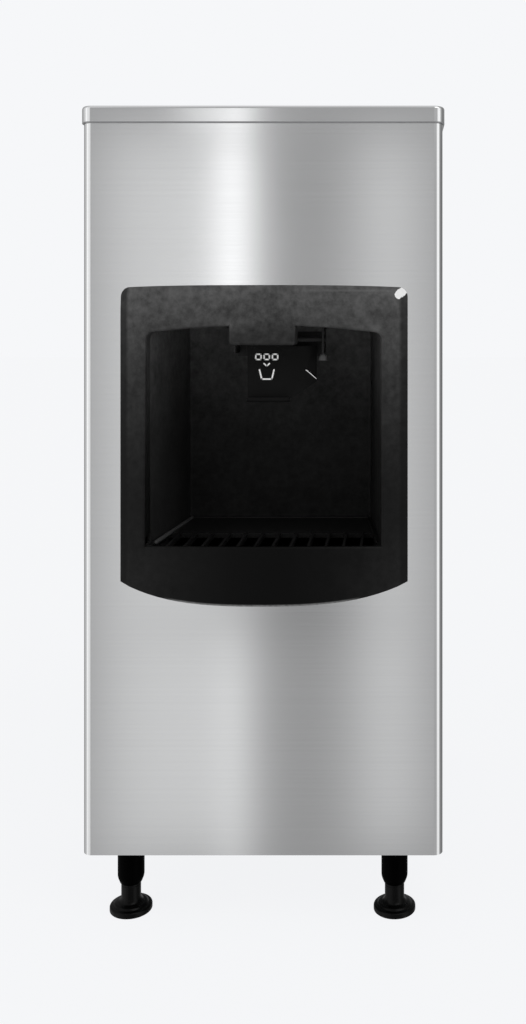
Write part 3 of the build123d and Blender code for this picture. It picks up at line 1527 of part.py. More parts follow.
coil_width = 60.0
coil_height = 50.0
coil_round = 6.0
core_sheet = 6.0
coil_y = box_y - box_width / 4
coil_z = box_z - box_height / 4
with BuildPart() as transformer:
    with BuildSketch(Plane.YZ.offset(box_x + box_sheet)):
        with Locations((coil_y, coil_z)):
            Rectangle(coil_width, coil_height + 2 * core_sheet)
    extrude(amount=coil_height)
    with BuildSketch(Plane.YZ.offset(box_x + box_sheet + core_sheet)):
        with Locations((coil_y, coil_z)):
            RectangleRounded(coil_width + 2 * core_sheet, coil_height, coil_round)
    extrude(amount=coil_height)
write(transformer, "transformer")

relay_size = 34.0
relay_count = 3
relay_pitch = 46.0
with BuildPart() as relays:
    for index in range(relay_count):
        with BuildSketch(Plane.YZ.offset(box_x + box_sheet)):
            with Locations((box_y + box_width / 4, box_z + (index - (relay_count - 1) / 2) * relay_pitch)):
                Rectangle(relay_size, relay_size)
        extrude(amount=relay_size + relay_size / 2)
write(relays, "relays")
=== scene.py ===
"""The looks of a floor-standing ice dispenser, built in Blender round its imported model.

Every length is in metres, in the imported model's own frame: +Z is up, the front faces -Y, and the
origin is on the floor under the middle.
"""

import json
import logging
import math
from dataclasses import dataclass, field
from enum import Enum
from typing import Any, Iterable

import bmesh
import bpy
from mathutils import Matrix, Vector


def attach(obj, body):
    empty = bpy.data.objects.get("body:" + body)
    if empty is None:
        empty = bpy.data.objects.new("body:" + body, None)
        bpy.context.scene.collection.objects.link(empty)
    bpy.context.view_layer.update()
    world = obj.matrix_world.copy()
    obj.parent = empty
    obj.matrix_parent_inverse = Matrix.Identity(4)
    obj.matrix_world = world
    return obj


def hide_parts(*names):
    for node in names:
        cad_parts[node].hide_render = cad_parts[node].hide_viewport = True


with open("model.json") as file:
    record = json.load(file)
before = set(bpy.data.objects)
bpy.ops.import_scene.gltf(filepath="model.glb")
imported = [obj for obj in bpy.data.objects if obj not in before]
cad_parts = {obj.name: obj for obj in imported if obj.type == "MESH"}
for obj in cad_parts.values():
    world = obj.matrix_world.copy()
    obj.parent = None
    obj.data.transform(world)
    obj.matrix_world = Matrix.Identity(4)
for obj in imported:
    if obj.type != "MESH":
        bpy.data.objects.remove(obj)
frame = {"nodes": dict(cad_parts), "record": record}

logging.basicConfig(level=logging.INFO, format="%(message)s")
log = logging.getLogger("dispenser")

Colour = tuple[float, float, float]
Triple = tuple[float, float, float]
Paint = tuple[float, float, float, float]
CABINET = "cabinet"

# The bezel's sizes that both its form and its painted shade and highlights follow

BEZEL_X = 0.005
BEZEL_HALF = 0.220
BEZEL_TOP_Z = 0.995
BEZEL_SIDE_Z = 0.542
BEZEL_SAG = 0.026
BEZEL_FLATNESS = 3.4


# Shader trees


class Socket:
    """One output of a shader tree. Arithmetic on it adds Math nodes."""

    def __init__(self, nodes: "Nodes", output: bpy.types.NodeSocket | None) -> None:
        """Wraps an output.

        Args:
            nodes: The tree that the output belongs to.
            output: Blender's own socket, or None for a node without one.
        """
        self.nodes = nodes
        self.output = output

    def math(self, operation: str, *others: "Socket | float") -> "Socket":
        """Adds a Math node on this value.

        Args:
            operation: The Math node's operation.
            others: The node's other inputs, in order.

        Returns:
            The node's result.
        """
        return self.nodes.math(operation, self, *others)

    def __add__(self, other: "Socket | float") -> "Socket":
        """This plus another value."""
        return self.math("ADD", other)

    def __radd__(self, other: float) -> "Socket":
        """A number plus this."""
        return self.nodes.math("ADD", other, self)

    def __sub__(self, other: "Socket | float") -> "Socket":
        """This minus another value."""
        return self.math("SUBTRACT", other)

    def __rsub__(self, other: float) -> "Socket":
        """A number minus this."""
        return self.nodes.math("SUBTRACT", other, self)

    def __mul__(self, other: "Socket | float") -> "Socket":
        """This times another value."""
        return self.math("MULTIPLY", other)

    def __rmul__(self, other: float) -> "Socket":
        """A number times this."""
        return self.nodes.math("MULTIPLY", other, self)

    def __truediv__(self, other: "Socket | float") -> "Socket":
        """This divided by another value."""
        return self.math("DIVIDE", other)

    def __pow__(self, other: "Socket | float") -> "Socket":
        """This to a power."""
        return self.math("POWER", other)

    def __lt__(self, other: "Socket | float") -> "Socket":
        """One where this is below another value, and zero elsewhere."""
        return self.math("LESS_THAN", other)


class Nodes:
    """A shader tree, and the one method by which any node is added to it."""

    def __init__(self, tree: bpy.types.NodeTree) -> None:
        """Empties a tree.

        Args:
            tree: The node tree of a material or a world.
        """
        self.tree = tree
        tree.nodes.clear()

    def add(
        self,
        kind: str,
        settings: dict[str, Any] | None = None,
        sockets: dict[str | int, Any] | None = None,
        out: str | int = 0,
    ) -> Socket:
        """Adds any node.

        Args:
            kind: The node's type.
            settings: Its properties, which are set first.
            sockets: The values or links of its inputs, by name or number.
            out: The output that is wanted.

        Returns:
            That output.
        """
        node = self.tree.nodes.new(kind)
        for key, value in (settings or {}).items():
            setattr(node, key, value)
        for key, value in (sockets or {}).items():
            if isinstance(value, Socket):
                self.tree.links.new(value.output, node.inputs[key])
            else:
                node.inputs[key].default_value = value
        return Socket(self, node.outputs[out] if len(node.outputs) else None)

    def math(self, operation: str, *values: Socket | float) -> Socket:
        """Adds a Math node.

        Args:
            operation: Its operation.
            values: Its inputs, in order.

        Returns:
            Its result.
        """
        return self.add("ShaderNodeMath", {"operation": operation}, dict(enumerate(values)))

    def place(self, scale: Triple = (1, 1, 1)) -> Socket:
        """The object's own coordinates, in metres, with each axis multiplied by its scale."""
        where = self.add("ShaderNodeTexCoord", out="Object")
        return self.add("ShaderNodeMapping", None, {"Vector": where, "Scale": scale})

    def noise(self, vector: Socket, scale: float, detail: float = 2.0, roughness: float = 0.5) -> Socket:
        """A noise field between about 0.2 and 0.8.

        Args:
            vector: Where it is read.
            scale: Its fineness.
            detail: How many finer layers it has.
            roughness: How strong they are.

        Returns:
            The field.
        """
        sockets = {"Vector": vector, "Scale": scale, "Detail": detail, "Roughness": roughness}
        return self.add("ShaderNodeTexNoise", None, sockets, "Fac")

    def blend(self, share: Socket | float, first: Any, second: Any) -> Socket:
        """Two colours blended by a share."""
        sockets = {0: share, 6: first, 7: second}
        return self.add("ShaderNodeMix", {"data_type": "RGBA"}, sockets, 2)

    def bump(self, height: Socket, distance: float) -> Socket:
        """A normal from a height field that is distance metres deep."""
        return self.add("ShaderNodeBump", None, {"Height": height, "Distance": distance})


def rgba(colour: Colour) -> Paint:
    """A colour with full alpha."""
    return (*colour, 1.0)


def side_of(nodes: Nodes) -> Socket:
    """A place's x on the object."""
    return nodes.add("ShaderNodeSeparateXYZ", None, {0: nodes.place()}, "X")


def height_of(nodes: Nodes) -> Socket:
    """A place's height on the object."""
    return nodes.add("ShaderNodeSeparateXYZ", None, {0: nodes.place()}, "Z")


def ramp(nodes: Nodes, value: Socket, start: float, end: float) -> Socket:
    """A share that runs from 0 where a value is start to 1 where it is end.

    Args:
        nodes: The tree.
        value: The value.
        start: Where the share leaves 0.
        end: Where it reaches 1.

    Returns:
        The share.
    """
    sockets = {"Value": value, "From Min": start, "From Max": end}
    return nodes.add("ShaderNodeMapRange", {"clamp": True}, sockets)


def grey(level: float) -> Paint:
    """An even grey of a linear level."""
    return (level, level, level, 1.0)


# Finishes


@dataclass(frozen=True)
class Finish:
    """A surface finish. Its colour, roughness and normal come from coats().

    The roughness swings by swing with a pattern, and mean_swing is what that adds on average.
    """

    name: str
    slot: str
    colour: Colour
    roughness: float
    metallic: float = 0.0
    specular: float = 0.5
    swing: float = 0.12
    mean_swing: float = 0.06
    paler: float = 1.25
    cloud_scale: float = 9.0
    grain_scale: float = 900.0
    grain_depth: float = 0.00004

    def tint(self, factor: float) -> Paint:
        """The colour, made lighter or darker by a factor."""
        return rgba(tuple(min(1.0, part * factor) for part in self.colour))

    def skin(self, nodes: Nodes, colour: Socket, swinging: Socket, height: Socket) -> dict[str, Any]:
        """Puts a finish's patterns together.

        Args:
            nodes: The material's tree.
            colour: The colour.
            swinging: What is added to the roughness.
            height: The relief, whose depth is grain_depth.

        Returns:
            Values by the Principled shader's input names.
        """
        return {
            "Base Color": colour,
            "Roughness": swinging + (self.roughness - self.mean_swing),
            "Normal": nodes.bump(height, self.grain_depth),
        }

    def coats(self, nodes: Nodes) -> dict[str, Any]:
        """The varying inputs of the shader. A plain finish has a faint mottle and grain.

        Args:
            nodes: The material's tree.

        Returns:
            Values by the Principled shader's input names.
        """
        cloud = nodes.noise(nodes.place(), self.cloud_scale, detail=3.0)
        grain = nodes.noise(nodes.place(), self.grain_scale)
        colour = nodes.blend(cloud, rgba(self.colour), self.tint(self.paler))
        return self.skin(nodes, colour, cloud * self.swing, grain)

    def material(self) -> bpy.types.Material:
        """The finish as a material, made once.

        Returns:
            The material.
        """
        made = bpy.data.materials.get(self.name)
        if made:
            return made
        made = bpy.data.materials.new(self.name)
        made.use_nodes = True
        nodes = Nodes(made.node_tree)
        fixed = {"Metallic": self.metallic, "Specular IOR Level": self.specular}
        surface = nodes.add("ShaderNodeBsdfPrincipled", None, {**fixed, **self.coats(nodes)})
        nodes.add("ShaderNodeOutputMaterial", None, {"Surface": surface})
        made.diffuse_color = rgba(self.colour)
        return made


@dataclass(frozen=True)
class BrushedSteel(Finish):
    """Stainless sheet with a fine level grain."""

    swing: float = 0.10
    mean_swing: float = 0.075
    paler: float = 1.05
    grain_depth: float = 0.0000025
    darker: float = 0.96
    along: Triple = (3.0, 3.0, 1600.0)
    streak_stretch: float = 0.15
    streak_share: float = 0.55
    marks_scale: float = 3.5
    smudge: float = 0.05

    def coats(self, nodes: Nodes) -> dict[str, Any]:
        """Long fine scratches along the sheet, and faint hand marks.

        Args:
            nodes: The material's tree.

        Returns:
            Values by the Principled shader's input names.
        """
        grain = nodes.noise(nodes.place(self.along), 1.0, detail=4.0, roughness=0.65)
        coarse = tuple(part * self.streak_stretch for part in self.along)
        streak = nodes.noise(nodes.place(coarse), 1.0)
        marks = nodes.noise(nodes.place(), self.marks_scale, detail=3.0)
        tone = streak * self.streak_share + grain * (1.0 - self.streak_share)
        colour = nodes.blend(tone, self.tint(self.darker), self.tint(self.paler))
        return self.skin(nodes, colour, grain * self.swing + marks * self.smudge, grain)


@dataclass(frozen=True)
class TexturedPlastic(Finish):
    """Moulded plastic with a fine spark-eroded texture."""

    swing: float = 0.16
    mean_swing: float = 0.11
    grain_scale: float = 620.0
    grain_depth: float = 0.00009
    pebble_swing: float = 0.06
    film_scale: float = 6.0
    film_falloff: float = 2.0
    dusty: float = 1.35
    dust: float = 0.004

    def coats(self, nodes: Nodes) -> dict[str, Any]:
        """A pebbled skin, with a dull film in places.

        Args:
            nodes: The material's tree.

        Returns:
            Values by the Principled shader's input names.
        """
        spot = nodes.place()
        pebble = nodes.noise(spot, self.grain_scale, roughness=0.6)
        pale_share = nodes.noise(spot, self.film_scale, detail=4.0, roughness=0.6)
        dusty = tuple(part * self.dusty + self.dust for part in self.colour)
        colour = nodes.blend(pale_share ** self.film_falloff, rgba(self.colour), rgba(dusty))
        return self.skin(nodes, colour, pale_share * self.swing + pebble * self.pebble_swing, pebble)


@dataclass(frozen=True)
class PalerAbovePlastic(TexturedPlastic):
    """Moulded plastic painted paler towards the top, in random patches. On the bezel the paleness with
    height is painted light from above, which makes the upper band lighter than the apron.

    Each of the pale tone's two patterns, fine and broad, has a scale and a gain.
    """

    low: float = 0.50
    high: float = BEZEL_TOP_Z
    pale_tone: Colour = (0.095, 0.095, 0.095)
    falloff: float = 3.3
    everywhere: float = 0.0
    fine: tuple[float, float] = (90.0, 1.4)
    broad: tuple[float, float] = (17.0, 0.9)
    bare: float = 0.35

    def spread(self, nodes: Nodes) -> Socket:
        """How much pale tone a place gets on the whole: more with height, which on the bezel is painted
        light from above.
        """
        return ramp(nodes, height_of(nodes), self.low, self.high) ** self.falloff + self.everywhere

    def pale_share(self, nodes: Nodes) -> Socket:
        """How much of the pale tone a place shows: the painted light of spread(), broken into random
        patches.

        Args:
            nodes: The material's tree.

        Returns:
            The share.
        """
        fine = nodes.noise(nodes.place(), self.fine[0], detail=4.0, roughness=0.65)
        broad = nodes.noise(nodes.place(), self.broad[0], detail=3.0, roughness=0.6)
        return self.spread(nodes) * (fine * self.fine[1] + broad * self.broad[1] - self.bare)

    def coats(self, nodes: Nodes) -> dict[str, Any]:
        """The textured skin, blended towards the pale tone: painted light with height, in random patches.

        Args:
            nodes: The material's tree.

        Returns:
            Values by the Principled shader's input names.
        """
        coats = super().coats(nodes)
        # painted light: the base colour turns paler with height, in patches
        coats["Base Color"] = nodes.blend(self.pale_share(nodes), rgba(self.colour), rgba(self.pale_tone))
        return coats


@dataclass(frozen=True)
class BezelPaintedLightPlastic(PalerAbovePlastic):
    """The bezel's plastic, paler above, with painted shade on its cheeks and on the tab, painted highlights
    along the hem, along a ridge at the top right and at the mouth's corners, and a white painted glint on
    the top right corner.

    The hem is given by its lowest height, its sag and its arch's power, the ridge by its height and
    its two ends, a mark by its x, its height and its radius, and the glint by its x and its height.
    """

    middle_x: float = BEZEL_X
    half: float = BEZEL_HALF
    # painted shade: the cheeks and the tab below the eave keep less of the pale tone, so they render darker
    cheek: tuple[float, float] = (0.009, 0.014)
    cheek_light_share: float = 0.36
    tab_shade_heights: tuple[float, float] = (0.921, 0.940)
    tab_half: float = 0.052
    tab_shade: float = 0.35
    side_dust: float = 0.13
    high_dust_share: float = 0.4
    dust_fade: tuple[float, float] = (0.56, 0.66)
    # painted highlights: the tone, pattern and gain of the light painted along edges and at the mouth's
    # corners
    highlight_tone: Colour = (0.17, 0.17, 0.17)
    highlight_scale: float = 260.0
    highlight_gain: float = 1.7
    hem: Triple = (BEZEL_SIDE_Z - BEZEL_SAG, BEZEL_SAG, BEZEL_FLATNESS)
    hem_reach: tuple[float, float] = (0.0012, 0.0032)
    hem_half: float = 0.150
    hem_full_share: float = 0.8
    ridge: Triple = (0.9868, 0.050, 0.195)
    ridge_reach: tuple[float, float] = (0.0006, 0.0024)
    ridge_fade: float = 0.01
    ridge_gain: float = 0.28
    marks: tuple[Triple, ...] = ((-0.0450, 0.9330, 0.0085), (0.1765, 0.9290, 0.0110))
    mark_full_share: float = 0.2
    mark_highlight: float = 0.30
    # painted glint: a ragged white spot painted where the top right corner catches light
    glint_place: tuple[float, float] = (0.2155, 0.9840)
    glint_size: tuple[float, float] = (0.0115, 0.0066)
    glint_slant: float = 35.0
    glint_scale: float = 130.0
    glint_ragged: float = 1.6
    glint_tone: Colour = (0.80, 0.80, 0.80)

    def across(self, nodes: Nodes) -> Socket:
        """A place's distance from the moulding's middle."""
        return (side_of(nodes) - self.middle_x).math("ABSOLUTE")

    def spread(self, nodes: Nodes) -> Socket:
        """The pale tone, held back on the cheeks and on the tab as painted shade, with some dust on the
        apron's sides.

        Args:
            nodes: The material's tree.

        Returns:
            How thick it lies.
        """
        across = self.across(nodes)
        inner = 1.0 - ramp(nodes, across, self.half - self.cheek[1], self.half - self.cheek[0])
        low_down = 1.0 - ramp(nodes, height_of(nodes), *self.dust_fade)
        lying = low_down * (1.0 - self.high_dust_share) + self.high_dust_share
        dust = (across / self.half) ** 2.0 * lying * self.side_dust
        # painted shade on the tab, and on the cheeks below
        tab = (1.0 - ramp(nodes, height_of(nodes), *self.tab_shade_heights)) * (across < self.tab_half)
        shown = (inner * (1.0 - self.cheek_light_share) + self.cheek_light_share) * (1.0 - tab * self.tab_shade)
        return (super().spread(nodes) + dust) * shown

    def hem_highlight(self, nodes: Nodes) -> Socket:
        """How much painted highlight a place gets along the lower edge, in its middle part.

        Args:
            nodes: The material's tree.

        Returns:
            The share.
        """
        across = self.across(nodes)
        low, sag, power = self.hem
        above = height_of(nodes) - ((across / self.half) ** power * sag + low)
        near = 1.0 - ramp(nodes, above, *self.hem_reach)
        return near * (1.0 - ramp(nodes, across, self.hem_half * self.hem_full_share, self.hem_half))

    def ridge_highlight(self, nodes: Nodes) -> Socket:
        """How much painted highlight a place gets along a ridge at the top right.

        Args:
            nodes: The material's tree.

        Returns:
            The share.
        """
        level, start, end = self.ridge
        x = side_of(nodes)
        near = 1.0 - ramp(nodes, (height_of(nodes) - level).math("ABSOLUTE"), *self.ridge_reach)
        begun = ramp(nodes, x, start, (start + end) / 2)
        along = begun * (1.0 - ramp(nodes, x, end, end + self.ridge_fade))
        return near * along * self.ridge_gain

    def painted_highlights(self, nodes: Nodes) -> Socket:
        """How much painted highlight a place gets: along the hem and the ridge, and at the mouth's corners.

        Args:
            nodes: The material's tree.

        Returns:
            The share.
        """
        x, z = side_of(nodes), height_of(nodes)
        # painted highlights along the hem and the ridge, and at the mouth's corners below
        lit_share = self.hem_highlight(nodes) + self.ridge_highlight(nodes)
        for mark_x, mark_z, radius in self.marks:
            away = ((x - mark_x) ** 2.0 + (z - mark_z) ** 2.0) ** 0.5
            mark = 1.0 - ramp(nodes, away, radius * self.mark_full_share, radius)
            lit_share = lit_share + mark * self.mark_highlight
        patches = nodes.noise(nodes.place(), self.highlight_scale, detail=3.0, roughness=0.7)
        return lit_share * patches * self.highlight_gain

    def painted_glint(self, nodes: Nodes) -> Socket:
        """One on the painted glint at the top right corner, whose outline is ragged, and zero elsewhere.

        Args:
            nodes: The material's tree.

        Returns:
            The share.
        """
        across, up = side_of(nodes) - self.glint_place[0], height_of(nodes) - self.glint_place[1]
        cos, sin = math.cos(math.radians(self.glint_slant)), math.sin(math.radians(self.glint_slant))
        along = (across * cos + up * sin) / self.glint_size[0]
        aside = (up * cos - across * sin) / self.glint_size[1]
        ragged = nodes.noise(nodes.place(), self.glint_scale, detail=4.0, roughness=0.65) - 0.5
        return (along ** 2.0 + aside ** 2.0) ** 0.5 + ragged * self.glint_ragged < 1.0

    def coats(self, nodes: Nodes) -> dict[str, Any]:
        """The paler-above skin with its painted highlights, and a white painted glint on one corner.

        Args:
            nodes: The material's tree.

        Returns:
            Values by the Principled shader's input names.
        """
        coats = super().coats(nodes)
        # painted highlights, then a white painted glint on the top right corner
        highlight_tone = nodes.blend(self.painted_highlights(nodes), coats["Base Color"], rgba(self.highlight_tone))
        # painted glint: the top right corner is painted white
        coats["Base Color"] = nodes.blend(self.painted_glint(nodes), highlight_tone, rgba(self.glint_tone))
        return coats


@dataclass(frozen=True)
class Galvanised(Finish):
    """Zinc-coated sheet with its spangle."""

    swing: float = 0.2
    mean_swing: float = 0.1
    grain_scale: float = 90.0
    grain_depth: float = 0.00002

    def coats(self, nodes: Nodes) -> dict[str, Any]:
        """Flat crystals of two greys.

        Args:
            nodes: The material's tree.

        Returns:
            Values by the Principled shader's input names.
        """
        sockets = {"Vector": nodes.place(), "Scale": self.grain_scale, "Randomness": 1.0}
        crystal = nodes.add("ShaderNodeTexVoronoi", None, sockets, "Color")
        tone = nodes.add("ShaderNodeSeparateColor", None, {"Color": crystal})
        colour = nodes.blend(tone, rgba(self.colour), self.tint(self.paler))
        return self.skin(nodes, colour, tone * self.swing, tone)


@dataclass(frozen=True)
class CellFoam(Finish):
    """Sprayed insulation with open cells."""

    swing: float = 0.1
    mean_swing: float = 0.05
    cloud_scale: float = 12.0
    grain_scale: float = 260.0
    grain_depth: float = 0.0006
    darker: float = 0.7
    cell_share: float = 0.6

    def coats(self, nodes: Nodes) -> dict[str, Any]:
        """Round cells with dark gaps.

        Args:
            nodes: The material's tree.

        Returns:
            Values by the Principled shader's input names.
        """
        sockets = {"Vector": nodes.place(), "Scale": self.grain_scale}
        cell = nodes.add("ShaderNodeTexVoronoi", None, sockets, "Distance")
        cloud = nodes.noise(nodes.place(), self.cloud_scale, detail=4.0)
        tone = cell * self.cell_share + cloud * (1.0 - self.cell_share)
        colour = nodes.blend(tone, rgba(self.colour), self.tint(self.darker))
        return self.skin(nodes, colour, cloud * self.swing, cell)


@dataclass(frozen=True)
class HammeredPaint(Finish):
    """Stoved paint with a hammered skin."""

    swing: float = 0.2
    mean_swing: float = 0.08
    paler: float = 1.3
    grain_scale: float = 420.0
    grain_depth: float = 0.0002
    softness: float = 0.6

    def coats(self, nodes: Nodes) -> dict[str, Any]:
        """Shallow round dimples.

        Args:
            nodes: The material's tree.

        Returns:
            Values by the Principled shader's input names.
        """
        sockets = {"Vector": nodes.place(), "Scale": self.grain_scale, "Smoothness": self.softness}
        dimple = nodes.add("ShaderNodeTexVoronoi", {"feature": "SMOOTH_F1"}, sockets, "Distance")
        colour = nodes.blend(dimple, rgba(self.colour), self.tint(self.paler))
        return self.skin(nodes, colour, dimple * self.swing, dimple)


STEEL = BrushedSteel("brushed_stainless", "stainless", (0.617, 0.622, 0.628), 0.11, 1.0, smudge=0.03)
# painted shade: a slightly darker copy of the front's steel for the cap's skirt
CAP_STEEL_SHADED = BrushedSteel("brushed_stainless_cap_shaded", "stainless", (0.597, 0.602, 0.608), 0.11, 1.0, smudge=0.03)
TOP_STEEL = BrushedSteel(
    "brushed_stainless_level", "stainless", (0.60, 0.60, 0.60), 0.26, 1.0, along=(3.0, 1600.0, 3.0)
)
BACK_STEEL = BrushedSteel("mill_stainless", "stainless", (0.54, 0.54, 0.54), 0.34, 1.0, smudge=0.09)
ZINC = Galvanised("galvanised_sheet", "galvanised", (0.42, 0.44, 0.45), 0.42, 0.9)
# painted light and shade on the bezel come from this finish's patterns
BEZEL_PLASTIC = BezelPaintedLightPlastic(
    "bezel_plastic", "black_moulding", (0.0015, 0.0015, 0.0015), 0.44, specular=0.07
)
LINER_PLASTIC = PalerAbovePlastic(
    "liner_plastic",
    "black_moulding",
    (0.006, 0.006, 0.006),
    0.36,
    specular=0.02,
    low=0.60,
    high=0.935,
    pale_tone=(0.135, 0.135, 0.135),
    falloff=4.0,
    everywhere=0.11,
)
GRILLE_PLASTIC = TexturedPlastic(
    "grille_plastic", "black_moulding", (0.008, 0.008, 0.008), 0.34, specular=0.16
)
# painted highlight: a pale grey for the grille's left rim, standing in for the light that the rim catches
RIM_HIGHLIGHT_PLASTIC = TexturedPlastic(
    "rim_plastic_painted_highlight", "black_moulding", (0.050, 0.050, 0.050), 0.5, specular=0.1
)
LEVER_PLASTIC = TexturedPlastic(
    "lever_plastic", "black_moulding", (0.007, 0.007, 0.007), 0.30, specular=0.03
)
FOOD_PLASTIC = TexturedPlastic("food_plastic", "food_plastic", (0.80, 0.82, 0.84), 0.38, grain_depth=0.00003)
FOAM = CellFoam("sprayed_foam", "foam", (0.80, 0.70, 0.44), 0.9)
SLEEVE_PAINT = Finish("leg_sleeve_paint", "black_leg", (0.0004, 0.0004, 0.0004), 0.34, specular=0.008)
FOOT_PAINT = Finish("leg_foot_paint", "black_leg", (0.001, 0.001, 0.001), 0.24, specular=0.08)
BRACKET_PAINT = Finish("bracket_paint", "black_leg", (0.028, 0.028, 0.028), 0.42, specular=0.02)
BLACKENED = Finish("blackened_steel", "black_leg", (0.020, 0.020, 0.020), 0.34, specular=0.06)
BRIGHT = BrushedSteel("bright_steel", "bright_steel", (0.72, 0.72, 0.72), 0.16, 1.0, along=(400, 400, 400))
RUBBER = Finish("black_rubber", "seal", (0.014, 0.014, 0.015), 0.75, specular=0.3)
# painted reflection: the seal under the cap is pale grey for the bright crease between cap and panel
EDGE_SEAL_PAINTED_REFLECTION = Finish("edge_seal_painted_reflection", "seal", (0.20, 0.20, 0.205), 0.35)
BUMPER = Finish("grey_rubber_bumper", "seal", (0.085, 0.085, 0.085), 0.5)
GREY_PAINT = HammeredPaint("grey_motor_paint", "grey_paint", (0.13, 0.15, 0.18), 0.4)
COIL_TAPE = Finish("coil_tape", "coil", (0.03, 0.03, 0.04), 0.5)
WHITE_INK = Finish("white_ink", "black_moulding", (0.88, 0.88, 0.87), 0.5)


# Making pieces


class Edge(Enum):
    """How far a dressed piece's edges are rounded, in metres."""

    FOLDED = 0.0
    CRISP = 0.0003
    EASED = 0.0007


SMOOTH_ANGLE = math.radians(32)
EASED_ANGLE = math.radians(40)
FLAT_ANGLE = math.radians(0.4)
LARGE_FACE_WEIGHT = 80
CAD_WELD = 2e-6
WELD = 1e-6


def object_of(form: bmesh.types.BMesh, name: str) -> bpy.types.Object:
    """Puts a form into the scene, and frees it.

    Args:
        form: The form.
        name: The name of the object and its mesh.

    Returns:
        The object.
    """
    mesh = bpy.data.meshes.new(name)
    form.to_mesh(mesh)
    form.free()
    made = bpy.data.objects.new(name, mesh)
    bpy.context.scene.collection.objects.link(made)
    return made


def ease(
    form: bmesh.types.BMesh, geom: list[Any], offset: float, segments: int, affect: str = "EDGES"
) -> None:
    """Rounds edges, or corners, of a form.

    Args:
        form: The form.
        geom: The edges, or the vertices.
        offset: How far the rounding reaches.
        segments: How many facets it has.
        affect: EDGES or VERTICES.
    """
    bmesh.ops.bevel(
        form, geom=geom, affect=affect, offset=offset, segments=segments, profile=0.5, material=-1
    )


@dataclass
class Piece:
    """A new piece of the visible model."""

    name: str
    finish: Finish
    body: str = CABINET
    stands_for: tuple[str, ...] = ()
    edge: Edge = Edge.FOLDED

    def shade(self, form: bmesh.types.BMesh) -> None:
        """Shades the faces smooth, and keeps the edges that turn far sharp.

        Args:
            form: The piece's form.
        """
        for face in form.faces:
            face.smooth = True
        for edge in form.edges:
            edge.smooth = len(edge.link_faces) == 2 and edge.calc_face_angle(0.0) < SMOOTH_ANGLE

    def build(self, form: bmesh.types.BMesh) -> bpy.types.Object:
        """Turns a form into a finished object that rides on its body.

        Args:
            form: The piece's form, which is freed.

        Returns:
            The object.
        """
        self.shade(form)
        made = object_of(form, self.name)
        mesh = made.data
        custom = mesh.attributes.get("custom_normal")
        if custom:
            mesh.attributes.remove(custom)
        mesh.materials.clear()
        mesh.materials.append(self.finish.material())
        if self.edge is not Edge.FOLDED:
            bevel = made.modifiers.new("edges", "BEVEL")
            bevel.width = self.edge.value
            bevel.segments = 2
            bevel.limit_method = "ANGLE"
            bevel.angle_limit = EASED_ANGLE
        level = made.modifiers.new("level_faces", "WEIGHTED_NORMAL")
        level.keep_sharp = True
        level.weight = LARGE_FACE_WEIGHT
        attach(made, self.body)
        if self.stands_for:
            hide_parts(*self.stands_for)
        log.info("%s: %d faces on %s", self.name, len(mesh.polygons), self.body)
        return made


def form_of(node: str) -> bmesh.types.BMesh:
    """A merged copy of a CAD node's mesh.

    Args:
        node: The node's name.

    Returns:
        The copy, with its flat faces whole again.
    """
    form = bmesh.new()
    form.from_mesh(frame["nodes"][node].data)
    bmesh.ops.remove_doubles(form, verts=form.verts, dist=CAD_WELD)
    bmesh.ops.dissolve_limit(
        form, angle_limit=FLAT_ANGLE, verts=form.verts, edges=form.edges, delimit=set()
    )
    return form


def merge(part: bmesh.types.BMesh, whole: bmesh.types.BMesh) -> None:
    """Adds one form to another, and frees it.

    Args:
        part: What is added.
        whole: What it is added to.
    """
    mesh = bpy.data.meshes.new("part")
    part.to_mesh(mesh)
    part.free()
    whole.from_mesh(mesh)
    bpy.data.meshes.remove(mesh)


def body_of(node: str) -> str:
    """The body that a CAD node rides on.

    Args:
        node: The node's name.

    Returns:
        The body's name.
    """
    for body, members in frame["record"]["behaviour"]["bodies"].items():
        if node in members:
            return body
    return CABINET


def dress(node: str, finish: Finish, edge: Edge = Edge.CRISP) -> bpy.types.Object:
    """Replaces a CAD node by a merged copy with a finish and eased edges.

    Args:
        node: The node's name.
        finish: The copy's finish.
        edge: How far its edges are rounded.

    Returns:
        The new piece.
    """
    return Piece(f"{node}_dressed", finish, body_of(node), (node,), edge).build(form_of(node))


def paint(finish: Finish, *nodes: str) -> None:
    """Gives CAD nodes that stay a finish.

    Args:
        finish: The finish.
        nodes: The nodes' names.
    """
    for node in nodes:
        mesh = frame["nodes"][node].data
        mesh.materials.clear()
        mesh.materials.append(finish.material())
        log.info("%s: CAD node in %s", node, finish.name)


def turned(
    profile: Iterable[tuple[float, float]], centre: tuple[float, float], steps: int = 64
) -> bmesh.types.BMesh:
    """A closed form turned about an upright axis.

    Args:
        profile: (radius, height) points from the axis at the bottom to the axis at the top.
        centre: Where the axis stands.
        steps: How many facets go round.

    Returns:
        The form.
    """
    form = bmesh.new()
    points = [form.verts.new((centre[0] + radius, centre[1], height)) for radius, height in profile]
    edges = [form.edges.new(pair) for pair in zip(points, points[1:])]
    bmesh.ops.spin(
        form,
        geom=points + edges,
        cent=(*centre, 0.0),
        axis=(0, 0, 1),
        angle=math.tau,
        steps=steps,
        use_merge=True,
    )
    bmesh.ops.remove_doubles(form, verts=form.verts, dist=WELD)
    bmesh.ops.recalc_face_normals(form, faces=form.faces)
    return form


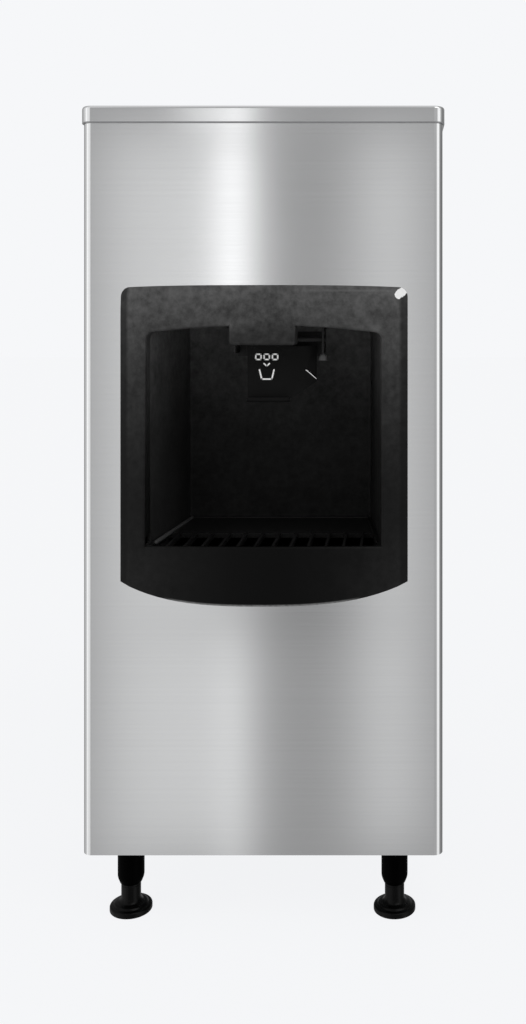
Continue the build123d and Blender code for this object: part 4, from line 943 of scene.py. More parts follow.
def rounded(corners: list[Triple], steps: int = 5) -> list[tuple[float, float]]:
    """A profile whose corners are rounded.

    Args:
        corners: (radius, height, rounding) of each corner.
        steps: How many facets each rounding has.

    Returns:
        The profile's points.
    """
    points: list[tuple[float, float]] = []
    for index, (across, up, bend) in enumerate(corners):
        here = Vector((across, up))
        if bend <= 0 or index in (0, len(corners) - 1):
            points.append((across, up))
            continue
        before = (Vector(corners[index - 1][:2]) - here).normalized() * bend
        after = (Vector(corners[index + 1][:2]) - here).normalized() * bend
        for step in range(steps + 1):
            t = step / steps
            point = here + before * (1 - t) ** 2 + after * t ** 2
            points.append((point.x, point.y))
    return points


# The sub-assemblies


@dataclass
class Cabinet:
    """The stainless shell: the front with its returns, the sides, and the cap with its seals."""

    side_nodes: tuple[str, ...] = ("left_side_panel", "right_side_panel")
    level_normal: float = 0.95

    def build(self) -> None:
        """Builds the shell's visible pieces."""
        dress("front_panel", STEEL, Edge.FOLDED)
        for node in self.side_nodes:
            dress(node, STEEL, Edge.FOLDED)
        self.build_cap()
        # the seal's pale grey is a painted reflection
        dress("cap_edge_seal", EDGE_SEAL_PAINTED_REFLECTION, Edge.FOLDED)
        dress("cap_gasket", RUBBER, Edge.FOLDED)
        paint(ZINC, "base_pan", "corner_posts", "top_frame", "drive_bulkhead", "leg_plates")
        paint(BRIGHT, "leg_nuts")

    def build_cap(self) -> None:
        """Builds the cap: a level-grained top, with its skirt grained as the front is, in a slightly darker
        copy of the front's steel as painted shade.
        """
        cap = dress("top_cap", CAP_STEEL_SHADED, Edge.FOLDED)
        cap.data.materials.append(TOP_STEEL.material())
        for polygon in cap.data.polygons:
            if polygon.normal.z > self.level_normal:
                polygon.material_index = 1


@dataclass
class Bezel:
    """The bowed moulding round the alcove, with its apron and the tab over the spout.

    It is drawn as its front view, carried to the bowed front, and carved from solids.
    """

    centre_x: float = BEZEL_X
    panel_y: float = -0.3275
    half: float = BEZEL_HALF
    top_z: float = BEZEL_TOP_Z
    top_arch: float = 0.003
    side_z: float = BEZEL_SIDE_Z
    bottom_sag: float = BEZEL_SAG
    flat_arch: float = BEZEL_FLATNESS
    side_reach: float = 0.024
    top_reach: float = 0.046
    low_reach: float = 0.0695
    top_corner: float = 0.014
    low_corner: float = 0.0
    edge_round: float = 0.007
    skin: float = 0.004
    wall: float = 0.003
    basin_gap: float = 0.012
    brow_height: float = 0.050
    brow_drop: float = 0.0055
    cheek_width: float = 0.018
    cheek_drop: float = 0.003
    mouth_half: float = 0.179
    lip_z: float = 0.599
    lip_rise: float = 0.005
    eave_z: float = 0.922
    eave_arch: float = 0.012
    mouth_corner: float = 0.009
    mouth_round: float = 0.004
    tab_half: float = 0.050
    tab_z: float = 0.904
    tab_corner: float = 0.004
    ceiling_z: float = 0.9365
    pocket_low: float = 0.01
    pocket_back: float = 0.02
    pocket_bevel: float = 0.004
    hollow_overrun: float = 0.01
    mouth_reach: float = 0.11
    wall_reach: float = 0.12
    rim_turn: float = 50.0
    rim_margin: float = 0.001
    rim_gap: float = 0.0006
    corner_room: float = 1.1
    corner_steps: int = 7
    mouth_steps: int = 4
    steps: int = 28
    strips: int = 40
    cheek_strips: int = 5
    brow_strips: int = 7
    rings: int = 6

    def arch(self, x: float, half: float, rise: float, power: float = 2.0) -> float:
        """How far an arch of a given rise stands up at x. A higher power makes its middle flatter."""
        return rise * (1 - (abs(x) / half) ** power)

    def bow(self, x: float, z: float, inset: float = 0.0) -> float:
        """The front surface's y at a place.

        Args:
            x: Distance from the alcove's middle plane.
            z: Height.
            inset: How far inside the outer skin.

        Returns:
            The y coordinate.
        """
        low_z = self.side_z - self.bottom_sag
        slope = (self.low_reach - self.top_reach) / (self.top_z - low_z - self.edge_round)
        middle = self.top_reach + slope * (self.top_z - z)
        reach = self.side_reach + self.arch(x, self.half - inset, middle - self.side_reach)
        brow = max(0.0, (z - self.top_z) / self.brow_height + 1.0)
        cheek = max(0.0, (abs(x) - self.half) / self.cheek_width + 1.0)
        drop = self.brow_drop * brow ** 2 + self.cheek_drop * cheek ** 2
        return self.panel_y - reach + drop + inset

    def run(
        self,
        start: tuple[float, float],
        end: tuple[float, float],
        rise: float = 0.0,
        clear: tuple[float, float] = (0.0, 0.0),
        power: float = 2.0,
    ) -> list[tuple[float, float]]:
        """The points of one line of an outline, without its last.

        Args:
            start: (x, z) of its start.
            end: (x, z) of its end.
            rise: How far an arch as wide as the whole line stands up in the middle.
            clear: How far from its start and its end no point lies, for the corners' rounding.
            power: How flat the arch's middle is.

        Returns:
            The points.
        """
        half = max(abs(start[0]), abs(end[0]))
        length = math.dist(start, end)
        points = []
        for step in range(self.steps):
            t = step / self.steps
            from_start, from_end = t * length, (1 - t) * length
            if step and (from_start < clear[0] * self.corner_room or from_end < clear[1] * self.corner_room):
                continue
            x = start[0] + (end[0] - start[0]) * t
            z = start[1] + (end[1] - start[1]) * t
            points.append((x, z + (self.arch(x, half, rise, power) if rise else 0.0)))
        return points

    def outline(self, inset: float) -> bmesh.types.BMesh:
        """The moulding's front view as one flat face in the panel's plane.

        Args:
            inset: How far it is drawn in from the outer skin.

        Returns:
            The form.
        """
        half, low, high = self.half - inset, self.side_z + inset, self.top_z - self.top_arch - inset
        corners = [(-half, low), (half, low), (half, high), (-half, high)]
        rises = [-self.bottom_sag, 0.0, self.top_arch, 0.0]
        radii = [max(0.0, radius - inset) for radius in (*[self.low_corner] * 2, *[self.top_corner] * 2)]
        points = []
        for number, rise in enumerate(rises):
            after = (number + 1) % 4
            clear = (radii[number], radii[after])
            points += self.run(corners[number], corners[after], rise, clear, self.flat_arch)
        form = self.sheet(points)
        self.round_corners(form, [(x, z, radius) for (x, z), radius in zip(corners, radii)])
        return form

    def sheet(self, points: list[tuple[float, float]]) -> bmesh.types.BMesh:
        """A flat face in the panel's plane.

        Args:
            points: (x, z) of each of its points, in order.

        Returns:
            A form with one face.
        """
        form = bmesh.new()
        form.faces.new([form.verts.new((x, self.panel_y, z)) for x, z in points])
        return form

    def round_corners(self, form: bmesh.types.BMesh, picks: list[Triple]) -> None:
        """Rounds some corners of a flat face.

        Args:
            form: The face.
            picks: (x, z, radius) of each corner.
        """
        for x, z, radius in picks:
            if not radius:
                continue
            place = Vector((x, self.panel_y, z))
            corner = min(form.verts, key=lambda item: (item.co - place).length)
            ease(form, [corner], radius, self.corner_steps, "VERTICES")

    def block(
        self, form: bmesh.types.BMesh, inset: float, deep: float, rounding: float = 0.0
    ) -> bmesh.types.BMesh:
        """Carries a flat face forward to the bowed front, and back by deep.

        Args:
            form: The face.
            inset: How far inside the outer skin the front lies.
            deep: How far behind the panel's plane the back lies.
            rounding: The radius of the front's edge.

        Returns:
            The same form, now solid.
        """
        made = bmesh.ops.extrude_face_region(form, geom=form.faces[:])["geom"]
        front = next(item for item in made if isinstance(item, bmesh.types.BMFace))
        drops = {vert: rounding for vert in front.verts}
        back = {vert for vert in form.verts if vert not in drops}
        for ring in range(1, self.rings + 1) if rounding else ():
            turn = [math.cos(math.pi / 2 * step / self.rings) for step in (ring - 1, ring)]
            bmesh.ops.inset_region(
                form, faces=[front], thickness=rounding * (turn[0] - turn[1]), use_even_offset=True
            )
            drop = rounding * (1 - math.sin(math.pi / 2 * ring / self.rings))
            drops.update({vert: drop for vert in front.verts})
        self.slice(form, front)
        for vert in form.verts:
            if vert not in back:
                vert.co.y = self.bow(vert.co.x, vert.co.z, inset) + drops.get(vert, 0.0)
        for vert in back:
            vert.co.y = self.panel_y + deep
        bmesh.ops.recalc_face_normals(form, faces=form.faces)
        return form

    def slice(self, form: bmesh.types.BMesh, front: bmesh.types.BMFace) -> None:
        """Cuts the front face into strips that can follow the bow.

        Args:
            form: The form.
            front: Its front face.
        """
        edge = self.half - self.edge_round
        fine = [edge - step * self.cheek_width / self.cheek_strips for step in range(1, self.cheek_strips)]
        cuts = [(self.half * (2 * step / self.strips - 1), 0) for step in range(1, self.strips)]
        cuts += [(side * place, 0) for place in fine for side in (-1, 1)]
        falls = [self.brow_height * step / self.brow_strips for step in range(1, self.brow_strips + 1)]
        cuts += [(self.top_z - fall, 2) for fall in falls]
        pieces = {front}
        for place, axis in cuts:
            point, normal = [0.0, 0.0, 0.0], [0.0, 0.0, 0.0]
            point[axis], normal[axis] = place, 1.0
            geom = list({part for face in pieces for part in (face, *face.edges, *face.verts)})
            made = bmesh.ops.bisect_plane(form, geom=geom, dist=WELD, plane_co=point, plane_no=normal)
            pieces |= {item for item in made["geom"] if isinstance(item, bmesh.types.BMFace)}
            pieces = {face for face in pieces if face.is_valid}

    def mouth(self, grow: float, reach: float, lift: float = 0.0) -> bmesh.types.BMesh:
        """The alcove's mouth as a solid that runs right through, with the tab left standing.

        Args:
            grow: How much larger than the mouth it is above and at the sides.
            reach: How far it runs in front of the panel and behind it.
            lift: How far above the lip it starts.

        Returns:
            The form.
        """
        half, tab = self.mouth_half + grow, self.tab_half - grow
        low, high = self.lip_z + lift, self.eave_z + grow
        tab_low = self.tab_z + grow
        tab_top = high + self.arch(tab, half, self.eave_arch)
        corner = self.mouth_corner + grow
        points = self.run((-half, low), (half, low), self.lip_rise)
        points += self.run((half, low), (half, high), clear=(0.0, corner))
        points += self.run((half, high), (tab, high), self.eave_arch, (corner, 0.0))
        points += [(tab, tab_top), (tab, tab_low), (-tab, tab_low), (-tab, tab_top)]
        points += self.run((-tab, high), (-half, high), self.eave_arch, (0.0, corner))[1:]
        points += self.run((-half, high), (-half, low), clear=(corner, 0.0))
        form = self.sheet(points)
        picks = [(side * half, high, corner) for side in (-1, 1)]
        picks += [(side * tab, tab_low, self.tab_corner) for side in (-1, 1)]
        self.round_corners(form, picks)
        made = bmesh.ops.extrude_face_region(form, geom=form.faces[:])["geom"]
        moved = {item for item in made if isinstance(item, bmesh.types.BMVert)}
        for vert in form.verts:
            vert.co.y += -reach if vert in moved else reach
        bmesh.ops.recalc_face_normals(form, faces=form.faces)
        return form

    def room(self, half: float, low: float, high: float, front: float) -> bmesh.types.BMesh:
        """A box cut out of the moulding from behind.

        Args:
            half: Half its width.
            low: Its bottom.
            high: Its top.
            front: How far in front of the panel it reaches.

        Returns:
            The form.
        """
        form = bmesh.new()
        bmesh.ops.create_cube(form, size=1.0)
        ease(form, form.edges[:], self.pocket_bevel, 1)
        size = Vector((2 * half, front + self.pocket_back, high - low))
        middle = Vector((0.0, self.panel_y + self.pocket_back / 2 - front / 2, (low + high) / 2))
        for vert in form.verts:
            vert.co = Vector(part * length for part, length in zip(vert.co, size)) + middle
        return form

    def build(self) -> None:
        """Builds the moulding."""
        kept_wall = self.mouth(self.wall, self.wall_reach, self.basin_gap)
        filled = self.block(self.outline(self.skin), self.skin, self.hollow_overrun)
        hollow = carved(filled, [kept_wall])
        body = self.block(self.outline(0.0), 0.0, 0.0, self.edge_round)
        half, front = self.tab_half - self.wall, self.top_reach - self.skin
        pocket = self.room(half, self.tab_z - self.pocket_low, self.ceiling_z, front)
        form = carved(body, [hollow, self.mouth(0.0, self.mouth_reach), pocket])
        ease(form, [edge for edge in form.edges if self.on_rim(edge)], self.mouth_round, self.mouth_steps)
        bmesh.ops.translate(form, vec=(self.centre_x, 0, 0), verts=form.verts)
        Piece("bezel_moulding", BEZEL_PLASTIC, CABINET, ("bezel",)).build(form)

    def on_rim(self, edge: bmesh.types.BMEdge) -> bool:
        """Whether an edge runs round the mouth on the front surface.

        Args:
            edge: The edge.

        Returns:
            Whether it does.
        """
        if len(edge.link_faces) != 2 or edge.calc_face_angle(0.0) < math.radians(self.rim_turn):
            return False
        middle = (edge.verts[0].co + edge.verts[1].co) / 2
        inside = abs(middle.x) < self.mouth_half + self.rim_margin
        low, high = self.lip_z - self.rim_margin, self.eave_z + self.eave_arch + self.rim_margin
        level = low < middle.z < high
        flush = all(abs(self.bow(vert.co.x, vert.co.z) - vert.co.y) < self.rim_gap for vert in edge.verts)
        return inside and level and flush


def carved(block: bmesh.types.BMesh, cutters: list[bmesh.types.BMesh]) -> bmesh.types.BMesh:
    """Cuts solids away from a solid.

    Args:
        block: The solid, which is freed.
        cutters: What is cut away, which is freed too.

    Returns:
        What is left.
    """
    objects = [object_of(form, f"carving_{number}") for number, form in enumerate([block, *cutters])]
    for cutter in objects[1:]:
        cut = objects[0].modifiers.new("cut", "BOOLEAN")
        cut.operation = "DIFFERENCE"
        cut.solver = "EXACT"
        cut.object = cutter
    graph = bpy.context.evaluated_depsgraph_get()
    left = bmesh.new()
    left.from_mesh(objects[0].evaluated_get(graph).to_mesh())
    for made in objects:
        bpy.data.objects.remove(made)
    bmesh.ops.remove_doubles(left, verts=left.verts, dist=WELD)
    return left


@dataclass
class Alcove:
    """The alcove's liner, the drip basin and the grille with its rim."""

    rim_z: float = 0.5970
    rim_front_y: float = -0.3260
    rim_corner_y: float = -0.1130
    rim_front: tuple[float, float] = (-0.1660, 0.1770)
    rim_rear: tuple[float, float] = (-0.1490, 0.1590)
    rim_segments: int = 16
    highlight_radius: float = 0.0034
    rim_radius: float = 0.0018

    def build(self) -> None:
        """Builds the alcove's inside."""
        dress("alcove_liner", LINER_PLASTIC, Edge.CRISP)
        dress("drip_basin", LINER_PLASTIC, Edge.EASED)
        dress("drip_grille", GRILLE_PLASTIC, Edge.EASED)
        places = [(self.rim_front[0], self.rim_front_y), (self.rim_rear[0], self.rim_corner_y)]
        places += [(self.rim_rear[1], self.rim_corner_y), (self.rim_front[1], self.rim_front_y)]
        # a rim bead whose pale grey is a painted highlight on its left side
        Piece("grille_highlight_rim", RIM_HIGHLIGHT_PLASTIC, "grille").build(self.bead(places[:2], self.highlight_radius))
        Piece("grille_rim", GRILLE_PLASTIC, "grille").build(self.bead(places[1:], self.rim_radius))

    def bead(self, places: list[tuple[float, float]], radius: float) -> bmesh.types.BMesh:
        """A raised bead on the grille.

        Args:
            places: (x, y) of the places that it runs through.
            radius: How thick it is.

        Returns:
            The form.
        """
        corners = [Vector((x, y, self.rim_z)) for x, y in places]
        form = bmesh.new()
        for start, end in zip(corners, corners[1:]):
            along = end - start
            turn = along.to_track_quat("Z", "Y").to_matrix().to_4x4()
            bmesh.ops.create_cone(
                form,
                cap_ends=True,
                segments=self.rim_segments,
                radius1=radius,
                radius2=radius,
                depth=along.length,
                matrix=Matrix.Translation((start + end) / 2) @ turn,
            )
        for corner in corners:
            bmesh.ops.create_uvsphere(
                form,
                u_segments=self.rim_segments,
                v_segments=self.rim_segments // 2,
                radius=radius,
                matrix=Matrix.Translation(corner),
            )
        return form


@dataclass
class PushLever:
    """The lever in the alcove, with its pin, bracket, switch and pictogram."""

    centre_x: float = 0.002
    face_y: float = -0.2875
    cubes_z: float = 0.8840
    cube_size: float = 0.0095
    cube_pitch: float = 0.0132
    arrow_z: float = 0.8712
    arrow_size: float = 0.0042
    cup_top_z: float = 0.8632
    cup_height: float = 0.0145
    cup_half: float = 0.0115
    cup_taper: float = 0.0035
    stroke: float = 0.0024
    ink_sheet: float = 0.0002
    bumper_centre: tuple[float, float] = (0.0915, -0.2850)
    bumper_radius: float = 0.0075
    bumper_z: float = 0.8785
    bumper_height: float = 0.0105
    bumper_top_share: float = 0.62
    bumper_low_round: float = 0.001
    bumper_top_round: float = 0.004
    bumper_steps: int = 32
    stroke_round_share: float = 0.4
    stroke_steps: int = 3

    def build(self) -> None:
        """Builds the lever and what carries it."""
        dress("lever", LEVER_PLASTIC, Edge.EASED)
        dress("lever_brace", BRIGHT, Edge.FOLDED)
        dress("lever_pin", BLACKENED, Edge.CRISP)
        dress("lever_bracket", BRACKET_PAINT, Edge.CRISP)
        dress("lever_switch", LEVER_PLASTIC, Edge.CRISP)
        dress("switch_plunger", FOOD_PLASTIC, Edge.CRISP)
        dress("bracket_screws", BLACKENED, Edge.CRISP)
        self.build_pictogram()
        Piece("bracket_bumper", BUMPER).build(self.bumper())

    def bumper(self) -> bmesh.types.BMesh:
        """The rubber bumper under the bracket's arm, wider at its foot.

        Returns:
            The form.
        """
        low, high = self.bumper_z, self.bumper_z + self.bumper_height
        top_radius = self.bumper_radius * self.bumper_top_share
        corners = [
            (0.0, low, 0.0),
            (self.bumper_radius, low, self.bumper_low_round),
            (top_radius, high, self.bumper_top_round),
            (0.0, high, 0.0),
        ]
        return turned(rounded(corners), self.bumper_centre, self.bumper_steps)

    def stroke_between(self, form: bmesh.types.BMesh, start: Vector, end: Vector) -> None:
        """Adds a round-ended stroke of ink between two points of the lever's face.

        Args:
            form: What the stroke is added to.
            start: (x, z) of its start.
            end: (x, z) of its end.
        """
        bar = bmesh.new()
        along = end - start
        bmesh.ops.create_cube(bar, size=1.0)
        size = Matrix.Diagonal((along.length + self.stroke, self.ink_sheet, self.stroke, 1.0))
        bmesh.ops.transform(bar, matrix=size, verts=bar.verts)
        half_sheet = self.ink_sheet / 2
        ends = [edge for edge in bar.edges if abs(edge.verts[0].co.y - edge.verts[1].co.y) > half_sheet]
        ease(bar, ends, self.stroke * self.stroke_round_share, self.stroke_steps)
        turn = Matrix.Rotation(-math.atan2(along.y, along.x), 4, "Y")
        middle = (start + end) / 2
        place = Matrix.Translation((middle.x, self.face_y - half_sheet, middle.y))
        bmesh.ops.transform(bar, matrix=place @ turn, verts=bar.verts)
        merge(bar, form)

    def trace(self, form: bmesh.types.BMesh, places: list[tuple[float, float]], closed: bool) -> None:
        """Draws a line of strokes through places of the lever's face.

        Args:
            form: What the strokes are added to.
            places: (x, z) of each place, in order.
            closed: Whether the line runs back to its start.
        """
        points = [Vector(place) for place in places]
        ends = points[1:] + points[:1] if closed else points[1:]
        for start, end in zip(points, ends):
            self.stroke_between(form, start, end)

    def build_pictogram(self) -> None:
        """Builds a plain sign on the lever: ice cubes that fall into a cup."""
        form = bmesh.new()
        x, half = self.centre_x, (self.cube_size - self.stroke / 2) / 2
        for place in (-1, 0, 1):
            middle = x + place * self.cube_pitch
            corners = [(-half, -half), (half, -half), (half, half), (-half, half)]
            self.trace(form, [(middle + a, self.cubes_z + b) for a, b in corners], True)
        arrow = [(-1.0, 0.5), (0.0, -0.5), (1.0, 0.5)]
        size = self.arrow_size
        self.trace(form, [(x + a * size, self.arrow_z + b * size) for a, b in arrow], False)
        low_half, top_half = self.cup_half - self.cup_taper, self.cup_half
        low, top = self.cup_top_z - self.cup_height, self.cup_top_z
        cup = [(-top_half, top), (-low_half, low), (low_half, low), (top_half, top)]
        self.trace(form, [(x + a, z) for a, z in cup], False)
        Piece("lever_pictogram", WHITE_INK, "push_lever").build(form)


@dataclass
class Leg:
    """One leg: a fixed socket, and a foot that screws out of it.

    The foot has a pad, a step, a dome, a neck and a stem with a groove, and a thread on top. The
    socket has a mouth, a sleeve, a bore for the thread, and a stud.
    """

    name: str
    centre: tuple[float, float]
    foot_node: str
    foot_body: str
    pad_radius: float = 0.0335
    pad_low_round: float = 0.0015
    pad_z: float = 0.0085
    pad_round: float = 0.003
    step_radius: float = 0.0275
    step_z: float = 0.0095
    step_round: float = 0.001
    dome_radius: float = 0.0255
    dome_z: float = 0.0125
    neck_radius: float = 0.0190
    neck_z: float = 0.0140
    dome_round: float = 0.002
    stem_radius: float = 0.0155
    stem_low_z: float = 0.0185
    stem_low_round: float = 0.003
    groove_z: float = 0.0405
    groove_depth: float = 0.0005
    crease: float = 0.0003
    stem_top_z: float = 0.0437
    thread_radius: float = 0.0080
    thread_top_z: float = 0.0857
    bore_radius: float = 0.0081
    bore_top_z: float = 0.0860
    mouth_radius: float = 0.0170
    mouth_z: float = 0.0440
    mouth_round: float = 0.001
    sleeve_radius: float = 0.0210
    sleeve_z: float = 0.0535
    sleeve_round: float = 0.004
    sleeve_top_z: float = 0.1120
    stud_radius: float = 0.0060
    stud_top_z: float = 0.1330
    steps: int = 72

    def foot(self) -> bmesh.types.BMesh:
        """The foot: a stepped dome with a rounded rim on a straight stem.

        Returns:
            The form.
        """
        stem = self.stem_radius
        corners = [
            (0.0, 0.0, 0.0),
            (self.pad_radius, 0.0, self.pad_low_round),
            (self.pad_radius, self.pad_z, self.pad_round),
            (self.step_radius, self.step_z, self.step_round),
            (self.dome_radius, self.dome_z, self.dome_round),
            (self.neck_radius, self.neck_z, self.dome_round),
            (stem, self.stem_low_z, self.stem_low_round),
            (stem, self.groove_z - self.groove_depth, self.crease),
            (stem - self.groove_depth, self.groove_z, self.crease),
            (stem, self.groove_z + self.groove_depth, self.crease),
            (stem, self.stem_top_z, 0.0),
            (self.thread_radius, self.stem_top_z, 0.0),
            (self.thread_radius, self.thread_top_z, 0.0),
            (0.0, self.thread_top_z, 0.0),
        ]
        return turned(rounded(corners), self.centre, self.steps)

    def socket(self) -> bmesh.types.BMesh:
        """The socket: a sleeve that narrows at its mouth, with a stud through the pan.

        Returns:
            The form.
        """
        corners = [
            (self.bore_radius, self.bore_top_z, 0.0),
            (self.bore_radius, self.mouth_z, 0.0),
            (self.mouth_radius, self.mouth_z, self.mouth_round),
            (self.sleeve_radius, self.sleeve_z, self.sleeve_round),
            (self.sleeve_radius, self.sleeve_top_z, self.crease),
            (self.stud_radius, self.sleeve_top_z, 0.0),
            (self.stud_radius, self.stud_top_z, 0.0),
            (0.0, self.stud_top_z, 0.0),
        ]
        return turned([(0.0, self.bore_top_z)] + rounded(corners), self.centre)

    def build(self) -> None:
        """Builds the foot."""
        Piece(f"{self.name}_foot_turned", FOOT_PAINT, self.foot_body, (self.foot_node,)).build(self.foot())


@dataclass
class Legs:
    """The four legs under the base pan. Their sockets are one piece."""

    across: tuple[float, float] = (-0.217, 0.205)
    along: tuple[float, float] = (-0.2725, 0.3175)

    def build(self) -> None:
        """Builds the sockets and the feet."""
        sockets = bmesh.new()
        for x in self.across:
            for y in self.along:
                side = "left" if x < 0 else "right"
                end = "front" if y < 0 else "rear"
                leg = Leg(f"{end}_{side}", (x, y), f"foot_{end}_{side}", f"{end}_{side}_foot")
                merge(leg.socket(), sockets)
                leg.build()
        Piece("leg_sockets_turned", SLEEVE_PAINT, CABINET, ("leg_sockets",)).build(sockets)


@dataclass
class Back:
    """The back: its panel, the louvred cover, the drain and the cord gland."""

    def build(self) -> None:
        """Builds what shows at the back."""
        dress("rear_panel", BACK_STEEL, Edge.FOLDED)
        dress("service_cover", BACK_STEEL, Edge.CRISP)
        dress("rear_screws", BRIGHT, Edge.CRISP)
        dress("cord_gland", RUBBER, Edge.EASED)
        dress("drain_outlet", FOOD_PLASTIC, Edge.CRISP)
        dress("drain_locknuts", FOOD_PLASTIC, Edge.EASED)


@dataclass
class IceWorks:
    """What moves the ice: the hopper, wheel, chute and gate, with the drive, drain and controls."""

    def build(self) -> None:
        """Dresses what is seen with the cap off, and paints the rest."""
        dress("hopper_liner", FOOD_PLASTIC, Edge.FOLDED)
        dress("paddle_wheel", FOOD_PLASTIC, Edge.EASED)
        dress("agitator", BRIGHT, Edge.EASED)
        dress("drive_shaft", BRIGHT, Edge.CRISP)
        dress("chute", FOOD_PLASTIC, Edge.FOLDED)
        dress("gear_motor", GREY_PAINT, Edge.EASED)
        paint(FOAM, "hopper_insulation")
        paint(FOOD_PLASTIC, "front_bush", "rear_bush")
        paint(STEEL, "gate_flap")
        paint(BRIGHT, "gate_crank", "solenoid_plunger", "bezel_screws")
        paint(ZINC, "solenoid_bracket", "motor_bracket", "control_box", "control_cover")
        paint(RUBBER, "basin_hose", "hopper_hose")
        paint(GREY_PAINT, "transformer")
        paint(COIL_TAPE, "gate_solenoid", "relays")


# The studio


@dataclass(frozen=True)
class Softbox:
    """A patch of light, or of shade, on the room's walls. Its angles are in degrees.

    An azimuth of 0 is straight behind the camera, and 90 is at its left.
    """

    azimuth: float
    elevation: float
    half_width: float
    half_height: float
    gain: float
    side_edge: float = 2.0
    end_edge: float = 2.0

    def light(self, azimuth: Socket, elevation: Socket) -> Socket:
        """What the patch adds in a direction.

        Args:
            azimuth: The direction's azimuth.
            elevation: Its elevation.

        Returns:
            The light.
        """
        across = ((azimuth - self.azimuth) / self.half_width).math("ABSOLUTE") ** self.side_edge
        up = ((elevation - self.elevation) / self.half_height).math("ABSOLUTE") ** self.end_edge
        return ((across + up) * -1.0).math("EXPONENT") * self.gain


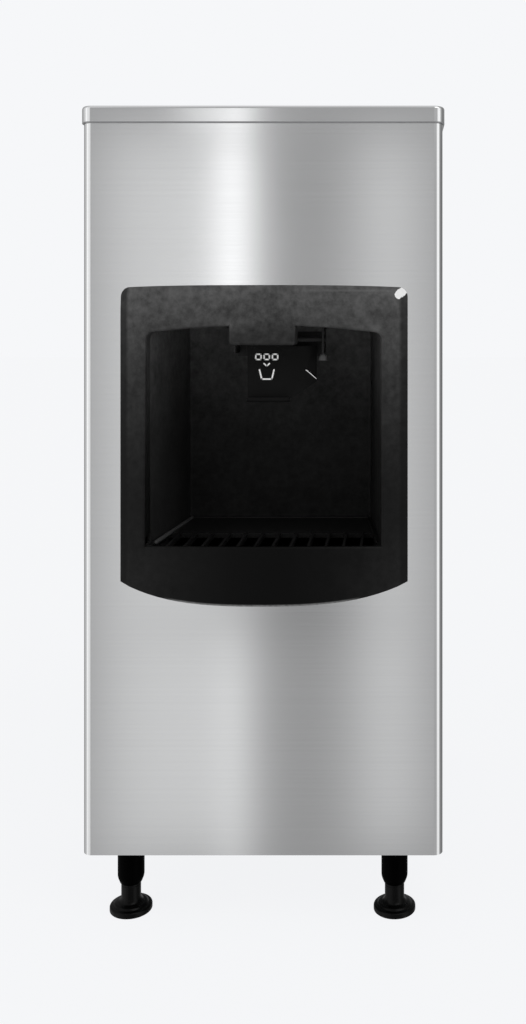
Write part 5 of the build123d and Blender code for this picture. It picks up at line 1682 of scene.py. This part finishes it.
@dataclass
class Studio:
    """The camera, the room's light and the pale floor."""

    image: tuple[int, int] = (526, 1024)
    eye: Vector = field(default_factory=lambda: Vector((0.200, -1.9775, 0.933)))
    axis_pixel: tuple[float, float] = (391.4, 326.0)
    focal_pixels: float = 1063.8
    sensor: float = 36.0
    backdrop: Colour = (0.922, 0.930, 0.947)
    floor_level: float = 0.92
    floor_glow: float = 0.94
    wall: float = 0.429
    sun_share: float = 0.12
    sun_height: float = 52.0
    sun_azimuth: float = -42.0
    sun_softness: float = 35.0
    floor_half: float = 30.0
    farthest: float = 60.0
    softboxes: tuple[Softbox, ...] = (
        Softbox(0.0, 90.0, 900.0, 45.0, 0.50),
        Softbox(11.5, -8.0, 4.3, 18.7, 0.50, 4.0, 20.0),
        Softbox(8.4, 2.0, 0.9, 8.5, 1.35, 2.2, 12.0),
        Softbox(8.4, -23.0, 0.9, 7.6, 0.38, 2.2, 8.0),
        Softbox(6.6, -15.3, 7.4, 1.3, -0.11, 8.0, 2.0),
        Softbox(8.1, 15.0, 0.6, 4.6, 1.60, 2.2, 12.0),
        Softbox(9.8, 15.0, 1.5, 4.6, 0.72, 3.0, 12.0),
        Softbox(0.0, 15.0, 900.0, 4.6, 0.06, 2.0, 12.0),
        Softbox(0.1, -8.0, 2.3, 18.7, 0.46, 2.0, 20.0),
        Softbox(46.0, 0.0, 25.0, 60.0, 0.74, 9.0),
        Softbox(74.0, 0.0, 19.0, 60.0, 0.52, 3.0),
        Softbox(104.0, 0.0, 18.0, 60.0, 0.30),
        Softbox(135.0, 0.0, 22.0, 60.0, -0.20),
        Softbox(-14.5, 0.0, 10.5, 60.0, 0.17, 6.0),
        Softbox(-58.0, 0.0, 20.0, 60.0, 1.14, 2.2),
        Softbox(-118.0, 0.0, 28.0, 60.0, -0.22),
    )

    def build(self) -> None:
        """Sets up the whole studio."""
        self.build_camera()
        self.build_world()
        self.build_sun()
        self.build_floor()
        bpy.context.scene.view_settings.view_transform = "Standard"

    def build_camera(self) -> None:
        """Makes the camera, level and square to the front, with its frame shifted."""
        data = bpy.data.cameras.new("camera")
        data.sensor_width = self.sensor
        data.lens = self.focal_pixels / self.image[1] * self.sensor
        data.shift_x = (self.image[0] / 2 - self.axis_pixel[0]) / self.image[1]
        data.shift_y = (self.axis_pixel[1] - self.image[1] / 2) / self.image[1]
        data.clip_end = self.farthest
        camera = bpy.data.objects.new("camera", data)
        camera.location = self.eye
        camera.rotation_euler = (math.radians(90), 0, 0)
        bpy.context.scene.collection.objects.link(camera)
        bpy.context.scene.camera = camera
        log.info("camera: %.1f mm lens", data.lens)

    def build_world(self) -> None:
        """Makes the room: plain walls with soft patches of light, and a pale backdrop for the camera."""
        world = bpy.data.worlds.new("room")
        world.use_nodes = True
        bpy.context.scene.world = world
        nodes = Nodes(world.node_tree)
        direction = nodes.add("ShaderNodeTexCoord", out="Generated")
        x, y, z = (nodes.add("ShaderNodeSeparateXYZ", None, {0: direction}, axis) for axis in "XYZ")
        azimuth = nodes.math("ARCTAN2", 0.0 - x, 0.0 - y) * math.degrees(1.0)
        elevation = z.math("ARCSINE") * math.degrees(1.0)
        light = nodes.math("ADD", self.wall, 0.0)
        for softbox in self.softboxes:
            light = light + softbox.light(azimuth, elevation)
        camera = nodes.add("ShaderNodeLightPath", out="Is Camera Ray")
        clear = nodes.add("ShaderNodeLightPath", out="Is Transmission Ray")
        backdrop = (camera + clear).math("MINIMUM", 1.0)
        colour = nodes.blend(backdrop, grey(1.0), rgba(self.backdrop))
        strength = backdrop + (1.0 - backdrop) * light
        shown = nodes.add("ShaderNodeBackground", None, {"Color": colour, "Strength": strength})
        nodes.add("ShaderNodeOutputWorld", None, {"Surface": shown})

    def build_sun(self) -> None:
        """Makes the one soft lamp, high at the front right."""
        data = bpy.data.lights.new("key", "SUN")
        data.angle = math.radians(self.sun_softness)
        height = math.radians(self.sun_height)
        data.energy = self.sun_share * math.pi / math.sin(height)
        lamp = bpy.data.objects.new("key", data)
        turn, level = math.radians(self.sun_azimuth), math.cos(height)
        toward = Vector((-math.sin(turn) * level, -math.cos(turn) * level, math.sin(height)))
        lamp.rotation_euler = toward.to_track_quat("Z", "Y").to_euler()
        bpy.context.scene.collection.objects.link(lamp)

    def build_floor(self) -> None:
        """Makes the floor, whose shadows the camera sees faintly, and which isn't seen in the steel."""
        form = bmesh.new()
        bmesh.ops.create_grid(form, x_segments=1, y_segments=1, size=self.floor_half)
        floor = object_of(form, "floor")
        material = bpy.data.materials.new("floor_paint")
        material.use_nodes = True
        nodes = Nodes(material.node_tree)
        matt = nodes.add("ShaderNodeBsdfDiffuse", None, {"Color": grey(self.floor_level)})
        glow = nodes.add("ShaderNodeEmission", None, {"Color": rgba(self.backdrop)})
        camera = nodes.add("ShaderNodeLightPath", out="Is Camera Ray")
        surface = nodes.add("ShaderNodeMixShader", None, {0: camera * self.floor_glow, 1: matt, 2: glow})
        nodes.add("ShaderNodeOutputMaterial", None, {"Surface": surface})
        floor.data.materials.append(material)
        floor.visible_glossy = False


def main() -> None:
    """Builds the dispenser and its studio."""
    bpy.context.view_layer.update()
    assemblies: list[Any] = [Cabinet(), Bezel(), Alcove(), PushLever(), Legs(), Back(), IceWorks(), Studio()]
    for assembly in assemblies:
        log.info("building %s", type(assembly).__name__)
        assembly.build()


if __name__ == "__main__":
    main()
